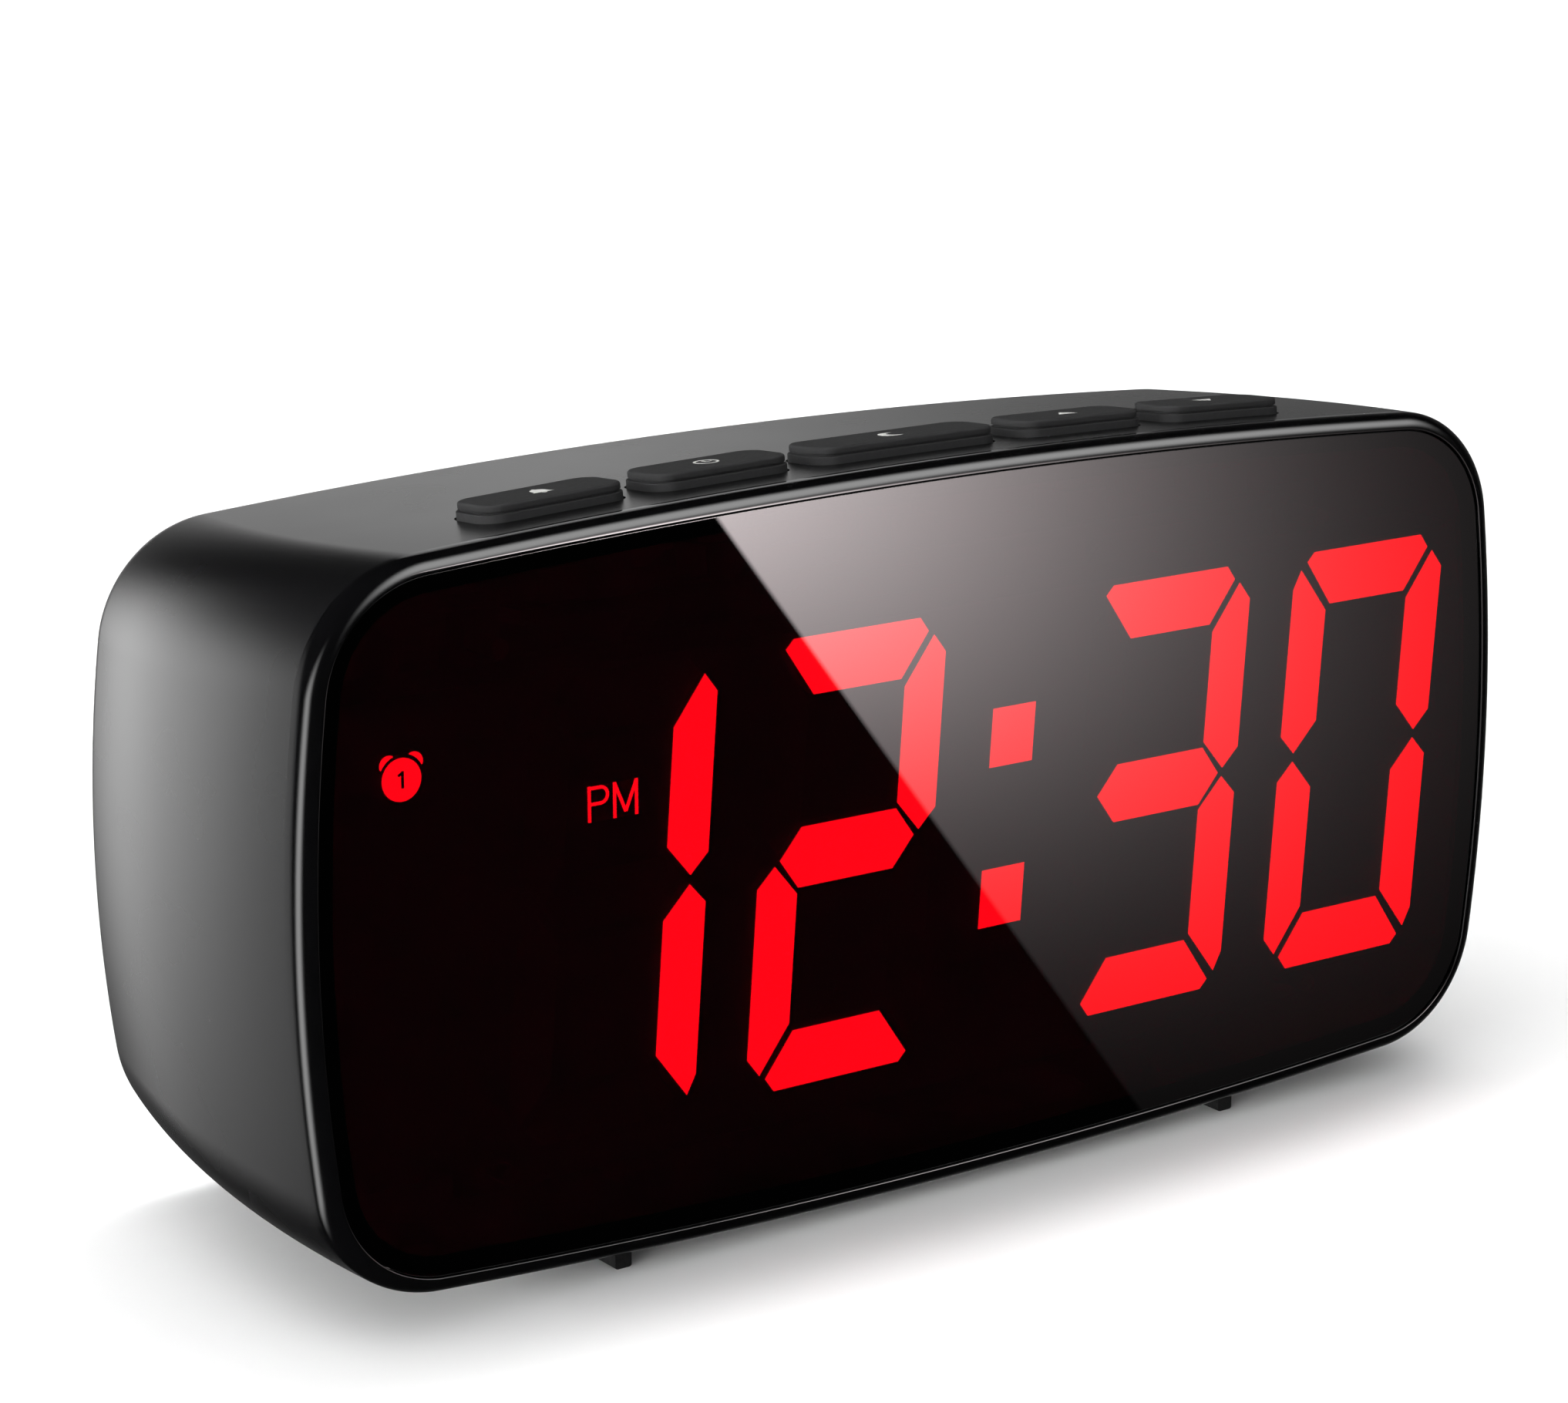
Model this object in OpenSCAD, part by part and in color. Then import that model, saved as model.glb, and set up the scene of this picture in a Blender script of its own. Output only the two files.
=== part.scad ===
// Desk alarm clock: a lofted case with a four-digit segment display, five keys on top and a back-up cell.
// X runs to the right seen from the front, Y to the back and Z up. The origin lies under the middle of
// the case, on the surface that the clock stands on.

/* [Case] */
// Width of the case at its front edge
case_w = 165; // [164:1:185]
// Height of the case at its front edge, without the skids
case_h = 83.5; // [81.5:0.5:95]
// Depth of the case from the bezel to the back
case_d = 54.5; // [50:0.5:70]
// Rise of each bowed side over its chord
side_bow = 4.3; // [3:0.1:6]
// Rise of the bowed top and bottom over their chord
top_bow = 3.3; // [2:0.1:5]
// Corner radius of the front outline
corner_r = 15; // [12:0.5:18]
// Corner radius of the back outline
rear_corner_r = 14.5; // [11:0.5:17]
// Amount by which each side draws in at the back
side_taper = 2.5; // [1:0.25:6]
// Amount by which each side bellies out at half depth
side_belly = 3.4; // [0:0.2:4]
// Amount by which the top and the bottom draw in at the back
top_taper = 4.3; // [3:0.1:6]
// Radius of the edge round the back
rear_round = 6.5; // [4:0.5:8]
// Thickness of the case walls
wall = 2.2; // [1.8:0.1:2.6]

/* [Bezel and lens] */
// Width of the rim seen round the lens
bezel_w = 2; // [1.9:0.1:3]
// Radius of the rim's front edge
bezel_round = 1.8; // [0.6:0.1:1.8]
// Depth of the lens behind the rim's front
lens_recess = 0.3; // [0.1:0.1:0.5]
// Thickness of the smoked lens
lens_t = 1.2; // [0.8:0.1:2]
// Thickness of the adhesive ring behind the lens
tape_t = 0.2; // [0.1:0.05:0.4]
// Thickness of the ledge that carries the adhesive ring
ledge_t = 0.8; // [0.6:0.1:1.5]
// Play round the lens in its rim
lens_play = 0.1; // [0.05:0.05:0.3]
// Length of the spigot that enters the case
spigot_d = 2; // [1:0.5:3]
// Wall of the spigot
spigot_t = 1.3; // [1:0.1:1.6]
// Play between pieces that are pushed together
fit_play = 0.3; // [0.1:0.05:0.4]

/* [Display] */
// Height of a digit
digit_h = 50.5; // [40:0.5:51.5]
// Width of the upright bars
bar_v = 5.25; // [4:0.25:6]
// Width of the level bars
bar_h = 6.3; // [4.5:0.1:7]
// Gap between neighbouring bars
bar_gap = 0.95; // [0.6:0.05:1.4]
// Cut of a digit's outer corners
digit_cut = 4.4; // [2:0.2:5]
// Lean of the digits to the right, in degrees
digit_lean = 5; // [0:1:8]
// Distance of the upright bars' inner tips from the digit's side
tip_in = 2.3; // [1.8:0.1:3]
// Height of the level middle bar above the digit's centre
waist_up = 0.8; // [0:0.1:2]
// Gap between the two digits of a pair
digit_gap = 6.8; // [6:0.1:9]
// Gap between the two pairs, where the colon sits
colon_room = 20.75; // [18:0.25:24]
// Room between the left side of the case and the first digit
left_room = 26.3; // [24:0.1:34]
// Room between the last digit and the right side of the case
right_room = 9.8; // [7.6:0.1:12]
// Drop of the digit row below the middle of the case
row_drop = 1; // [0:0.1:2]
// Width of each colon dot
colon_w = 5.6; // [4:0.1:7]
// Height of each colon dot
colon_h = 6.4; // [5:0.1:8]
// Distance of each colon dot from the middle bars' height
colon_rise = 9.1; // [7:0.1:11]
// Rim of the reflector above and below the digits
reflector_rim = 0.8; // [0.5:0.1:1]
// Depth of the reflector block
reflector_d = 7; // [5:0.5:9]
// Depth of the light pipes that fill the reflector's windows
pipe_d = 3; // [1.5:0.5:4]
// Play round each light pipe
pipe_play = 0.05; // [0.02:0.01:0.1]
// Room between the left side of the case and the middle of the alarm sign
sign_room = 12.75; // [12:0.05:15]
// Height of the alarm sign above the digits' centre
sign_up = 17.5; // [10:0.5:18]
// Radius of the alarm sign's dial
sign_r = 2.15; // [1.5:0.05:2.5]
// Gap between that dial and the bells on it
bell_gap = 0.25; // [0.15:0.05:0.4]
// Height of the bells
bell_t = 0.85; // [0.6:0.05:1]
// Angle that each bell spans
bell_span = 50; // [35:1:60]
// Angle of each bell's middle from the upright
bell_lean = 42; // [35:1:50]
// Width of the window for the half-day mark
mark_w = 6.4; // [5:0.1:7]
// Height of the window for the half-day mark
mark_h = 3.9; // [3:0.1:5]
// Height of the half-day mark above the digits' centre
mark_up = 11.1; // [10:0.1:12]

/* [Keys] */
// Width of the four narrow keys
key_w = 17.8; // [15:0.2:18]
// Width of the middle key
snooze_w = 24.8; // [20:0.2:26]
// Depth of the keys from front to back
key_d = 8.4; // [7:0.2:10]
// Gap between neighbouring keys
key_gap = 3.4; // [2.8:0.2:4]
// Distance of the keys from the front of the case
key_front = 8.1; // [7:0.1:10]
// Corner radius of the keys
key_r = 2.6; // [1.5:0.1:3]
// Height of the keys over the case
key_proud = 1.8; // [1:0.1:3]
// Height of the groove round each key over the case
groove_up = 0.8; // [0.7:0.1:0.9]
// Width of the groove round each key
groove_w = 0.2; // [0.1:0.05:0.4]
// Depth of the groove round each key
groove_in = 0.5; // [0.2:0.1:0.8]
// Amount by which the cap over the groove is drawn in
cap_in = 0.2; // [0:0.05:0.3]
// Play round each key in its opening
key_play = 0.25; // [0.15:0.05:0.4]
// Overhang of the flange that keeps a key in the case
flange_w = 1; // [0.6:0.1:1.2]
// Thickness of that flange
flange_t = 1.2; // [0.8:0.1:1.6]
// Length of the middle key's stem
stem_len = 2.2; // [1.8:0.1:4]
// Radius of the key stems
stem_r = 1.6; // [1:0.1:2]
// Gap between each stem and its plunger
stem_gap = 0.1; // [0.05:0.05:0.2]

/* [Switches and boards] */
// Width of the push switches
switch_w = 6; // [5:0.5:7]
// Height of the push switches
switch_h = 3.5; // [3:0.1:5]
// Radius of the switch plungers
plunger_r = 1.7; // [1.2:0.1:2]
// Height of the plungers over their switch
plunger_up = 1; // [0.8:0.1:1.5]
// Depth of the plungers inside their switch
plunger_in = 1.4; // [1:0.1:1.6]
// Play round the plungers
plunger_play = 0.2; // [0.1:0.05:0.3]
// Thickness of the circuit boards
board_t = 1.6; // [1:0.1:2]
// Half length of the key board
key_board_x = 52.5; // [50:0.5:52.5]
// Distance of the outer key board posts from the middle
key_post_x = 40; // [30:1:45]
// Radius of the key board posts
key_post_r = 2.2; // [1.8:0.1:2.5]
// Room between the case's sides and the main board
board_room = 6.5; // [6:0.5:10]
// Side of the square clock chip
chip_w = 12; // [8:1:14]
// Height of the clock chip
chip_h = 1.8; // [1:0.1:2.5]
// Radius of the crystal can
crystal_r = 1.5; // [1:0.1:1.6]
// Length of the crystal can
crystal_len = 8; // [6:0.5:9]
// Side of the small lamps behind the segments
lamp_w = 1.6; // [1:0.1:2]

/* [Screws] */
// Distance of the case screws from the middle
screw_x = 56.5; // [56:0.5:57]
// Radius of the case screws
screw_r = 1.1; // [0.9:0.05:1.3]
// Radius of their heads
screw_head_r = 2; // [1.8:0.1:2.1]
// Height of their heads
screw_head_h = 1.7; // [1.2:0.1:2]
// Depth that they reach into the bezel's bosses
screw_grip = 5; // [3:0.5:6]
// Radius of the bezel's bosses
boss_r = 2.4; // [2.2:0.1:2.6]
// Wall of the wells that lead to the case screws
well_wall = 1; // [0.8:0.1:1.2]
// Floor of those wells under the screw heads
well_floor = 3; // [2:0.5:5]
// Radius of the small board screws
small_screw_r = 0.85; // [0.7:0.05:1]
// Radius of their heads
small_head_r = 1.8; // [1.5:0.1:2]
// Height of their heads
small_head_h = 1.3; // [1:0.1:1.6]
// Depth that they reach past the board
small_grip = 5; // [3:0.5:5.5]
// Distance of the display screws above and below the digits' centre
display_screw_rise = 20; // [16:0.5:22]
// Distance of the left display screws from the first digit
display_screw_out = 6; // [5:0.5:8]

/* [Skids] */
// Distance of each skid from the middle
skid_x = 43; // [35:0.2:50]
// Width of a skid
skid_w = 2.1; // [1.6:0.1:4]
// Gap under the lowest line of the case
skid_gap = 1.3; // [1:0.1:4]
// Start of the skids behind the bezel
skid_start = 0.3; // [0.2:0.1:5]
// Distance of the skids' ends from the back
skid_stop = 8.5; // [8:0.5:15]
// Depth of the skids in their grooves
skid_in = 1; // [0.6:0.1:1.2]
// Play round the skids in their grooves
skid_play = 0.05; // [0:0.01:0.1]

/* [Back] */
// Place of the sounder right of the middle
sounder_x = 0; // [-4:0.5:4]
// Place of the sounder above the middle
sounder_z = 6; // [4:0.5:8]
// Radius of the sounder
sounder_r = 13; // [10:0.5:15]
// Thickness of the sounder
sounder_t = 4.5; // [3:0.5:8]
// Wall of the rims that hold the sounder and the cell
rim_t = 1.2; // [0.8:0.1:1.5]
// Radius of the sound holes
sound_hole_r = 0.9; // [0.6:0.1:1.2]
// Distance between rings of sound holes
sound_step = 4; // [3.5:0.1:4.5]
// Place of the power jack right of the middle
jack_x = -46; // [-50:0.5:-40]
// Place of the power jack above the middle
jack_z = -14; // [-18:0.5:-8]
// Radius of the jack's neck
jack_r = 3.9; // [3.5:0.1:4.5]
// Radius of the jack's flange
jack_flange_r = 5.3; // [5:0.1:6]
// Thickness of the jack's flange
jack_flange_t = 1; // [0.8:0.1:1.1]
// Length of the jack
jack_len = 14; // [11:0.5:18]
// Radius of the jack's bore
jack_bore_r = 1.8; // [1.7:0.05:2.2]
// Depth of the jack's bore
jack_bore_d = 9.5; // [8:0.5:10]
// Radius of the jack's pin
jack_pin_r = 0.65; // [0.5:0.05:1]
// Thickness of the jack's nut
jack_nut_t = 2.2; // [1.5:0.1:3]
// Radius of the jack's nut over its corners
jack_nut_r = 6.2; // [5.5:0.1:7]
// Play between the jack and its nut
jack_nut_play = 0.05; // [0.02:0.01:0.1]
// Depth of the jack's flange behind the back face
jack_inset = 0.2; // [0:0.05:0.3]
// Width of the jack's tabs
jack_tab_w = 2; // [1.5:0.1:2.5]
// Thickness of the jack's tabs
jack_tab_t = 0.8; // [0.5:0.1:1]
// Length of the jack's tabs
jack_tab_len = 3; // [2:0.5:4]
// Place of the cell cap right of the middle
cap_x = 44; // [40:0.5:46]
// Place of the cell cap above the middle
cap_z = -5; // [-8:0.5:-2]
// Radius of the cell cap
cap_r = 12.5; // [12.4:0.1:14]
// Thickness of the cell cap's disc
cap_t = 1.6; // [1.4:0.1:2]
// Depth of the cap's disc behind the back face
cap_inset = 0.2; // [0.1:0.05:0.3]
// Wall of the cap's neck
neck_wall = 1.5; // [1.2:0.1:1.8]
// Play round and under the cap
cap_play = 0.3; // [0.2:0.05:0.4]
// Quarter of the turn that frees the cap, in degrees
cap_turn = 45; // [40:1:60]
// Angle that each bayonet lug spans
lug_span = 30; // [20:1:32]
// Thickness of the bayonet lugs
lug_t = 1.2; // [0.8:0.1:1.5]
// Reach of the bayonet lugs past the cap's neck
lug_reach = 1.3; // [1:0.1:1.5]
// Thickness of the ring that the lugs hook behind
catch_t = 0.9; // [0.6:0.1:1.5]
// Radius of the back-up cell
cell_r = 10; // [8:0.1:10]
// Thickness of the back-up cell
cell_t = 3.2; // [2:0.1:3.2]
// Thickness of the cell contacts
contact_t = 0.3; // [0.2:0.05:0.4]
// Play between the cell and the contact at its side
clip_gap = 0.05; // [0.03:0.01:0.1]
// Angle that this contact spans
clip_span = 20; // [16:1:24]
// Radius of the contact under the cell
plate_r = 6; // [4:0.5:7]
// Width of the contact's tail
tail_w = 2; // [1.5:0.1:2.5]
// Length of the contacts' tails past the cup
tail_out = 1.5; // [1:0.1:2]
// Floor of the cup that holds the cell
cup_floor = 1.2; // [0.8:0.1:1.5]
// Width of the coin slot
coin_slot_w = 1.8; // [1.4:0.1:2.2]
// Depth of the coin slot
coin_slot_d = 0.9; // [0.6:0.1:1]

/* [Leads] */
// Thickness of the flat leads
lead_t = 1.4; // [1:0.1:2]
// Width of the flat leads
lead_w = 3; // [2:0.2:4]
// Thickness of the key ribbon
ribbon_t = 0.8; // [0.5:0.1:1]
// Width of the key ribbon
ribbon_w = 12; // [8:0.5:16]
// Place of the key ribbon right of the middle
ribbon_x = 24; // [20:0.5:30]
// Distance of the key ribbon's drop behind the main board
ribbon_back = 5; // [3:0.5:6]
// Distance of its lower end below the reflector's top
ribbon_low = 5; // [3:0.5:8]

/* [Hidden] */
$fn = 48;

// Overlap of cutting tools past the faces that they cut
eps = 0.5;
y_front = -case_d / 2;
y_rear = case_d / 2;
z_mid = skid_gap + case_h / 2;

// Points on a quarter of the outline: along the side, round the corner, along the top
side_steps = 4;
corner_steps = 7;
top_steps = 5;

lens_back = lens_recess + lens_t;
ledge_front = lens_back + tape_t;
bezel_t = ledge_front + ledge_t;
spigot_end = bezel_t + spigot_d;
spigot_in = wall + fit_play + top_taper * spigot_end / case_d;
ledge_in = spigot_in + spigot_t;

reflector_front = ledge_front + fit_play;
board_front = reflector_front + reflector_d;
board_back = board_front + board_t;
reflector_in = ledge_in + fit_play;
row_z = -row_drop;
reflector_top = row_z + digit_h / 2 + reflector_rim;
reflector_bottom = row_z - digit_h / 2 - reflector_rim;
digit_w = (case_w - left_room - right_room - 2 * digit_gap - colon_room) / 4;
digit_pitch = digit_w + digit_gap;
pair_pitch = digit_w + colon_room;
row_x = (left_room - right_room) / 2;
digit_x = [
    row_x - pair_pitch / 2 - digit_pitch,
    row_x - pair_pitch / 2,
    row_x + pair_pitch / 2,
    row_x + pair_pitch / 2 + digit_pitch
];
lean = tan(digit_lean);
// Bars of each digit that are lit, by their letters
shown = ["bc", "abdeg", "abcdg", "abcdef"];
sign_at = [sign_room - case_w / 2, row_z + sign_up];
mark_at = [digit_x[0], row_z + mark_up];

screw_top = reflector_top + fit_play + boss_r;
screw_bottom = reflector_bottom - fit_play - boss_r;
well_r = screw_head_r + fit_play;
screw_spots = [for (x = [-screw_x, screw_x]) for (z = [screw_bottom, screw_top]) [x, z]];
display_screw_x = [digit_x[0] - digit_w / 2 - display_screw_out, (digit_x[2] + digit_x[3]) / 2];
display_screw_spots = [for (x = display_screw_x) for (z = [-display_screw_rise, display_screw_rise])
    [x + lean * z, row_z + z]];

key_y = y_front + key_front + key_d / 2;
key_step = snooze_w / 2 + key_gap + key_w / 2;
key_x = [-key_step - key_w - key_gap, -key_step, 0, key_step, key_step + key_w + key_gap];
key_widths = [key_w, key_w, snooze_w, key_w, key_w];
taper_angle = atan(top_taper / case_d);
flange_top = -wall - fit_play;
plunger_top = flange_top - flange_t - stem_len;
switch_top = plunger_top - plunger_up;
key_board_top = switch_top - switch_h;
key_post_y = key_d / 2 + flange_w + fit_play + key_post_r;
key_board_y = [-key_d / 2 - flange_w, key_post_y + key_post_r];
key_post_spots = [for (x = [-key_post_x, 0, key_post_x]) [x, key_post_y]];

sounder_at = [sounder_x, sounder_z];
jack_at = [jack_x, jack_z];
cap_at = [cap_x, cap_z];
cap_under = cap_inset + cap_t;
catch_top = cap_under + cap_play;
catch_bottom = catch_top + catch_t;
pocket_r = cell_r + contact_t + 2 * clip_gap;
neck_r = pocket_r - cap_play;
lug_r = neck_r + lug_reach;
lug_top = catch_bottom + cap_play;
lug_bottom = lug_top + lug_t;
groove_bottom = lug_bottom + cap_play;
cell_top = groove_bottom + fit_play;
cell_bottom = cell_top + cell_t;
pocket_bottom = cell_bottom + contact_t;
cup_end = pocket_bottom + cup_floor;
cup_r = cap_r + cap_play + rim_t;
contact_tail = cup_end + tail_out;

// Share of the depth, 0 at the front and 1 at the back
function share(y) = (y - y_front) / case_d;
// Half width of the case where the sides stand furthest out
function half_w(y) = case_w / 2 - side_taper * share(y) + 4 * side_belly * share(y) * (1 - share(y));
// Half height of the case on its middle line
function half_h(y) = case_h / 2 - top_taper * share(y);
function corner_at(y) = corner_r + (rear_corner_r - corner_r) * share(y);
// Radius of an arc that rises by sag over a chord of twice half
function bow_r(half, sag) = (half * half + sag * sag) / (2 * sag);
function on_arc(c, r, t) = [c.x + r * cos(t), c.y + r * sin(t)];
// Point at distance p from a and q from b, on the outer side
function meet(a, b, p, q) =
    let (d = norm(b - a), e = (b - a) / d, u = (p * p - q * q + d * d) / (2 * d), h = sqrt(p * p - u * u))
    a + u * e + h * [-e.y, e.x];

// A quarter of the bowed outline, from the side's middle to the top's middle, set inwards by inset
function quarter(a, b, r, inset) =
    let (
        rs = bow_r(b, side_bow),
        rt = bow_r(a, top_bow),
        side_c = [a - rs, 0],
        top_c = [0, b - rt],
        c = meet(side_c, top_c, rs - r, rt - r),
        t1 = atan2(c.y, c.x - side_c.x),
        t2 = atan2(c.y - top_c.y, c.x)
    )
    concat(
        [for (i = [0 : side_steps - 1]) on_arc(side_c, rs - inset, t1 * i / side_steps)],
        [for (i = [0 : corner_steps - 1]) on_arc(c, r - inset, t1 + (t2 - t1) * i / corner_steps)],
        [for (i = [0 : top_steps]) on_arc(top_c, rt - inset, t2 + (90 - t2) * i / top_steps)]
    );

// The whole outline, turned from one quarter
function outline(a, b, r, inset) =
    let (q = quarter(a, b, r, inset), n = len(q) - 1)
    concat(
        [for (i = [0 : n - 1]) q[i]],
        [for (i = [n : -1 : 1]) [-q[i].x, q[i].y]],
        [for (i = [0 : n - 1]) -q[i]],
        [for (i = [n : -1 : 1]) [q[i].x, -q[i].y]]
    );

function case_outline(y, inset) = outline(half_w(y), half_h(y), corner_at(y), inset);
function case_ring(y, inset) = [for (p = case_outline(y, inset)) [p.x, y, z_mid + p.y]];

// Height of the top face, and its lean to the side, at a point of the case
function top_r(y) = bow_r(half_w(y), top_bow);
function top_z(x, y, inset) = z_mid + half_h(y) - top_r(y) + sqrt(pow(top_r(y) - inset, 2) - x * x);
function top_angle(x, y) = asin(x / top_r(y));

// Solid through rings of the case outline, each given by its depth and its inset
module loft(stations) {
    rings = [for (s = stations) case_ring(s[0], s[1])];
    n = len(rings[0]);
    last = len(rings) - 1;
    sides = [for (k = [0 : last - 1]) for (i = [0 : n - 1])
        let (a = k * n + i, b = k * n + (i + 1) % n)
        each [[a, b, b + n], [a, b + n, a + n]]];
    front = [for (i = [n - 1 : -1 : 0]) i];
    back = [for (i = [0 : n - 1]) last * n + i];
    polyhedron(points = [for (r = rings) each r], faces = concat([front], sides, [back]));
}

// Case walls from one depth to the back, drawn in by inset, with steps rings on the way and a round edge
function shell(start, inset, steps, turn) =
    let (r = rear_round - inset, end = y_rear - inset)
    concat(
        [for (i = [0 : steps]) [start + (end - r - start) * i / steps, inset]],
        [for (t = [turn : turn : 90]) [end - r * (1 - sin(t)), inset + r * (1 - cos(t))]]
    );

// Prism between two depths behind the front, from a flat shape drawn as seen from the front
module between(d0, d1) {
    translate([0, y_front + d1, z_mid]) rotate([90, 0, 0]) linear_extrude(d1 - d0) children();
}

module front_plate(inset, d0, d1) {
    between(d0, d1) polygon(outline(case_w / 2, case_h / 2, corner_r, inset));
}

// Round bar along the depth
module bar(at, r, d0, d1) {
    translate([at.x, y_front + d0, z_mid + at.y]) rotate([-90, 0, 0]) cylinder(r = r, h = d1 - d0);
}

// Frame on the back face, its Z pointing into the case
module at_back(at) {
    translate([at.x, y_rear, z_mid + at.y]) rotate([90, 0, 0]) children();
}

module back_bar(r, d0, d1) {
    translate([0, 0, d0]) cylinder(r = r, h = d1 - d0);
}

// Part of a ring between two radii, from one angle over a span
module sector(r0, r1, d0, d1, from, span) {
    translate([0, 0, d0]) rotate([0, 0, from])
        rotate_extrude(angle = span) translate([r0, 0]) square([r1 - r0, d1 - d0]);
}

module rounded(w, d, r) {
    square([w - 2 * r, d], center = true);
    square([w, d - 2 * r], center = true);
    for (x = [-1, 1]) for (y = [-1, 1])
        translate([x * (w / 2 - r), y * (d / 2 - r)]) circle(r = r);
}

// Frame on the top face at a key, its Z pointing away from the case
module at_key(i) {
    translate([key_x[i], key_y, top_z(key_x[i], key_y, 0)])
        rotate([-taper_angle, 0, 0]) rotate([0, top_angle(key_x[i], key_y), 0]) children();
}

// Frame of the key board, parallel to the top face on the middle line
module at_key_row() {
    translate([0, key_y, top_z(0, key_y, 0)]) rotate([-taper_angle, 0, 0]) children();
}

// Flat strip seen from above that follows points, cut square at both ends
module strip(points, t) {
    for (i = [0 : len(points) - 2]) {
        leg = points[i + 1] - points[i];
        translate(points[i]) rotate(atan2(leg.y, leg.x)) translate([0, -t / 2]) square([norm(leg), t]);
    }
    for (i = [1 : len(points) - 2]) translate(points[i]) circle(d = t);
}

// Case shell

module screw_wells() {
    for (s = screw_spots) bar(s, well_r + well_wall, board_back, case_d - wall / 2);
}

module key_posts() {
    at_key_row() for (p = key_post_spots)
        translate([p.x, p.y, key_board_top]) cylinder(r = key_post_r, h = -key_board_top - wall / 2);
}

module sounder_rim() {
    at_back(sounder_at) difference() {
        back_bar(sounder_r + fit_play + rim_t, wall / 2, wall + sounder_t / 2);
        back_bar(sounder_r + fit_play, wall, wall + sounder_t);
    }
}

module cell_cup() {
    at_back(cap_at) back_bar(cup_r, wall / 2, cup_end);
}

module cell_pocket() {
    at_back(cap_at) {
        back_bar(cap_r + cap_play, -eps, catch_top);
        back_bar(pocket_r, catch_top - eps, pocket_bottom);
        back_bar(lug_r + cap_play, catch_bottom, groove_bottom);
        for (side = [0, 180])
            sector(pocket_r - eps, lug_r + cap_play, catch_top - eps, catch_bottom + eps,
                side + cap_turn - lug_span * 0.1, lug_span * 1.2);
        sector(cell_r, pocket_r, pocket_bottom - eps, cup_end + eps, 90 - clip_span * 0.6, clip_span * 1.2);
        translate([0, 0, cup_end])
            cube([tail_w + fit_play, contact_t + fit_play, 2 * cup_floor + eps], center = true);
    }
}

module key_openings() {
    for (i = [0 : 4]) at_key(i)
        translate([0, 0, flange_top - eps]) linear_extrude(wall + fit_play + 2 * eps)
            rounded(key_widths[i] + 2 * key_play, key_d + 2 * key_play, key_r + key_play);
}

module sound_holes() {
    at_back(sounder_at) {
        back_bar(sound_hole_r, -eps, wall + eps);
        for (ring = [1, 2]) for (i = [1 : 6 * ring])
            rotate(60 * i / ring) translate([ring * sound_step, 0, 0])
                back_bar(sound_hole_r, -eps, wall + eps);
    }
}

module skid_profile(grow) {
    y0 = y_front + bezel_t + skid_start;
    y1 = y_rear - skid_stop;
    seat = [for (y = [y0, y1]) 2 * z_mid - top_z(skid_x, y, 0) + skid_in];
    polygon([[y0 - grow, 0], [y1 + grow, 0], [y1 + grow, seat[1] + grow], [y0 - grow, seat[0] + grow]]);
}

module skid(side, grow) {
    translate([side * skid_x - skid_w / 2 - grow, 0, 0])
        rotate([90, 0, 90]) linear_extrude(skid_w + 2 * grow) skid_profile(grow);
}

module housing() {
    color("#1c1c1d") difference() {
        loft(shell(y_front + bezel_t, 0, 5, 18));
        difference() {
            loft(shell(y_front + bezel_t - eps, wall, 4, 30));
            screw_wells();
            key_posts();
            sounder_rim();
            cell_cup();
        }
        for (s = screw_spots) {
            bar(s, well_r, board_back + well_floor, case_d + eps);
            bar(s, screw_r + fit_play, board_back - eps, board_back + well_floor + eps);
        }
        at_key_row() for (p = key_post_spots)
            translate([p.x, p.y, key_board_top - eps]) cylinder(r = small_screw_r, h = small_grip + eps);
        key_openings();
        sound_holes();
        cell_pocket();
        at_back(jack_at) {
            back_bar(jack_r + fit_play, -eps, wall + eps);
            back_bar(jack_flange_r + fit_play, -eps, jack_inset + jack_flange_t);
        }
        for (side = [-1, 1]) skid(side, skid_play);
    }
}

// Bezel, lens and what holds them

module bezel_bosses() {
    for (s = screw_spots) {
        side = sign(s.y);
        rim = top_z(screw_x, y_front, spigot_in + spigot_t / 3) - z_mid;
        bar(s, boss_r, ledge_front, board_front);
        between(ledge_front, spigot_end) translate([s.x - boss_r / 3, min(s.y, side * rim)])
            square([boss_r / 1.5, rim - abs(s.y)]);
    }
}

module front_bezel() {
    color("#161617") difference() {
        union() {
            difference() {
                union() {
                    loft(concat(
                        [for (t = [90 : -22.5 : 0])
                            [y_front + bezel_round * (1 - sin(t)), bezel_round * (1 - cos(t))]],
                        [[y_front + bezel_t, 0]]
                    ));
                    front_plate(spigot_in, bezel_t - eps, spigot_end);
                }
                front_plate(bezel_w, -eps, ledge_front);
                front_plate(ledge_in, -eps, spigot_end + eps);
            }
            bezel_bosses();
        }
        for (s = screw_spots) bar(s, screw_r, board_front - screw_grip - eps, board_front + eps);
    }
}

module display_lens() {
    color("#160606") front_plate(bezel_w + lens_play, lens_recess, lens_back);
}

module lens_tape() {
    color("#0c0c0c") difference() {
        front_plate(bezel_w + lens_play, lens_back, ledge_front);
        front_plate(ledge_in, lens_back - eps, ledge_front + eps);
    }
}

// Segment display

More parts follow.
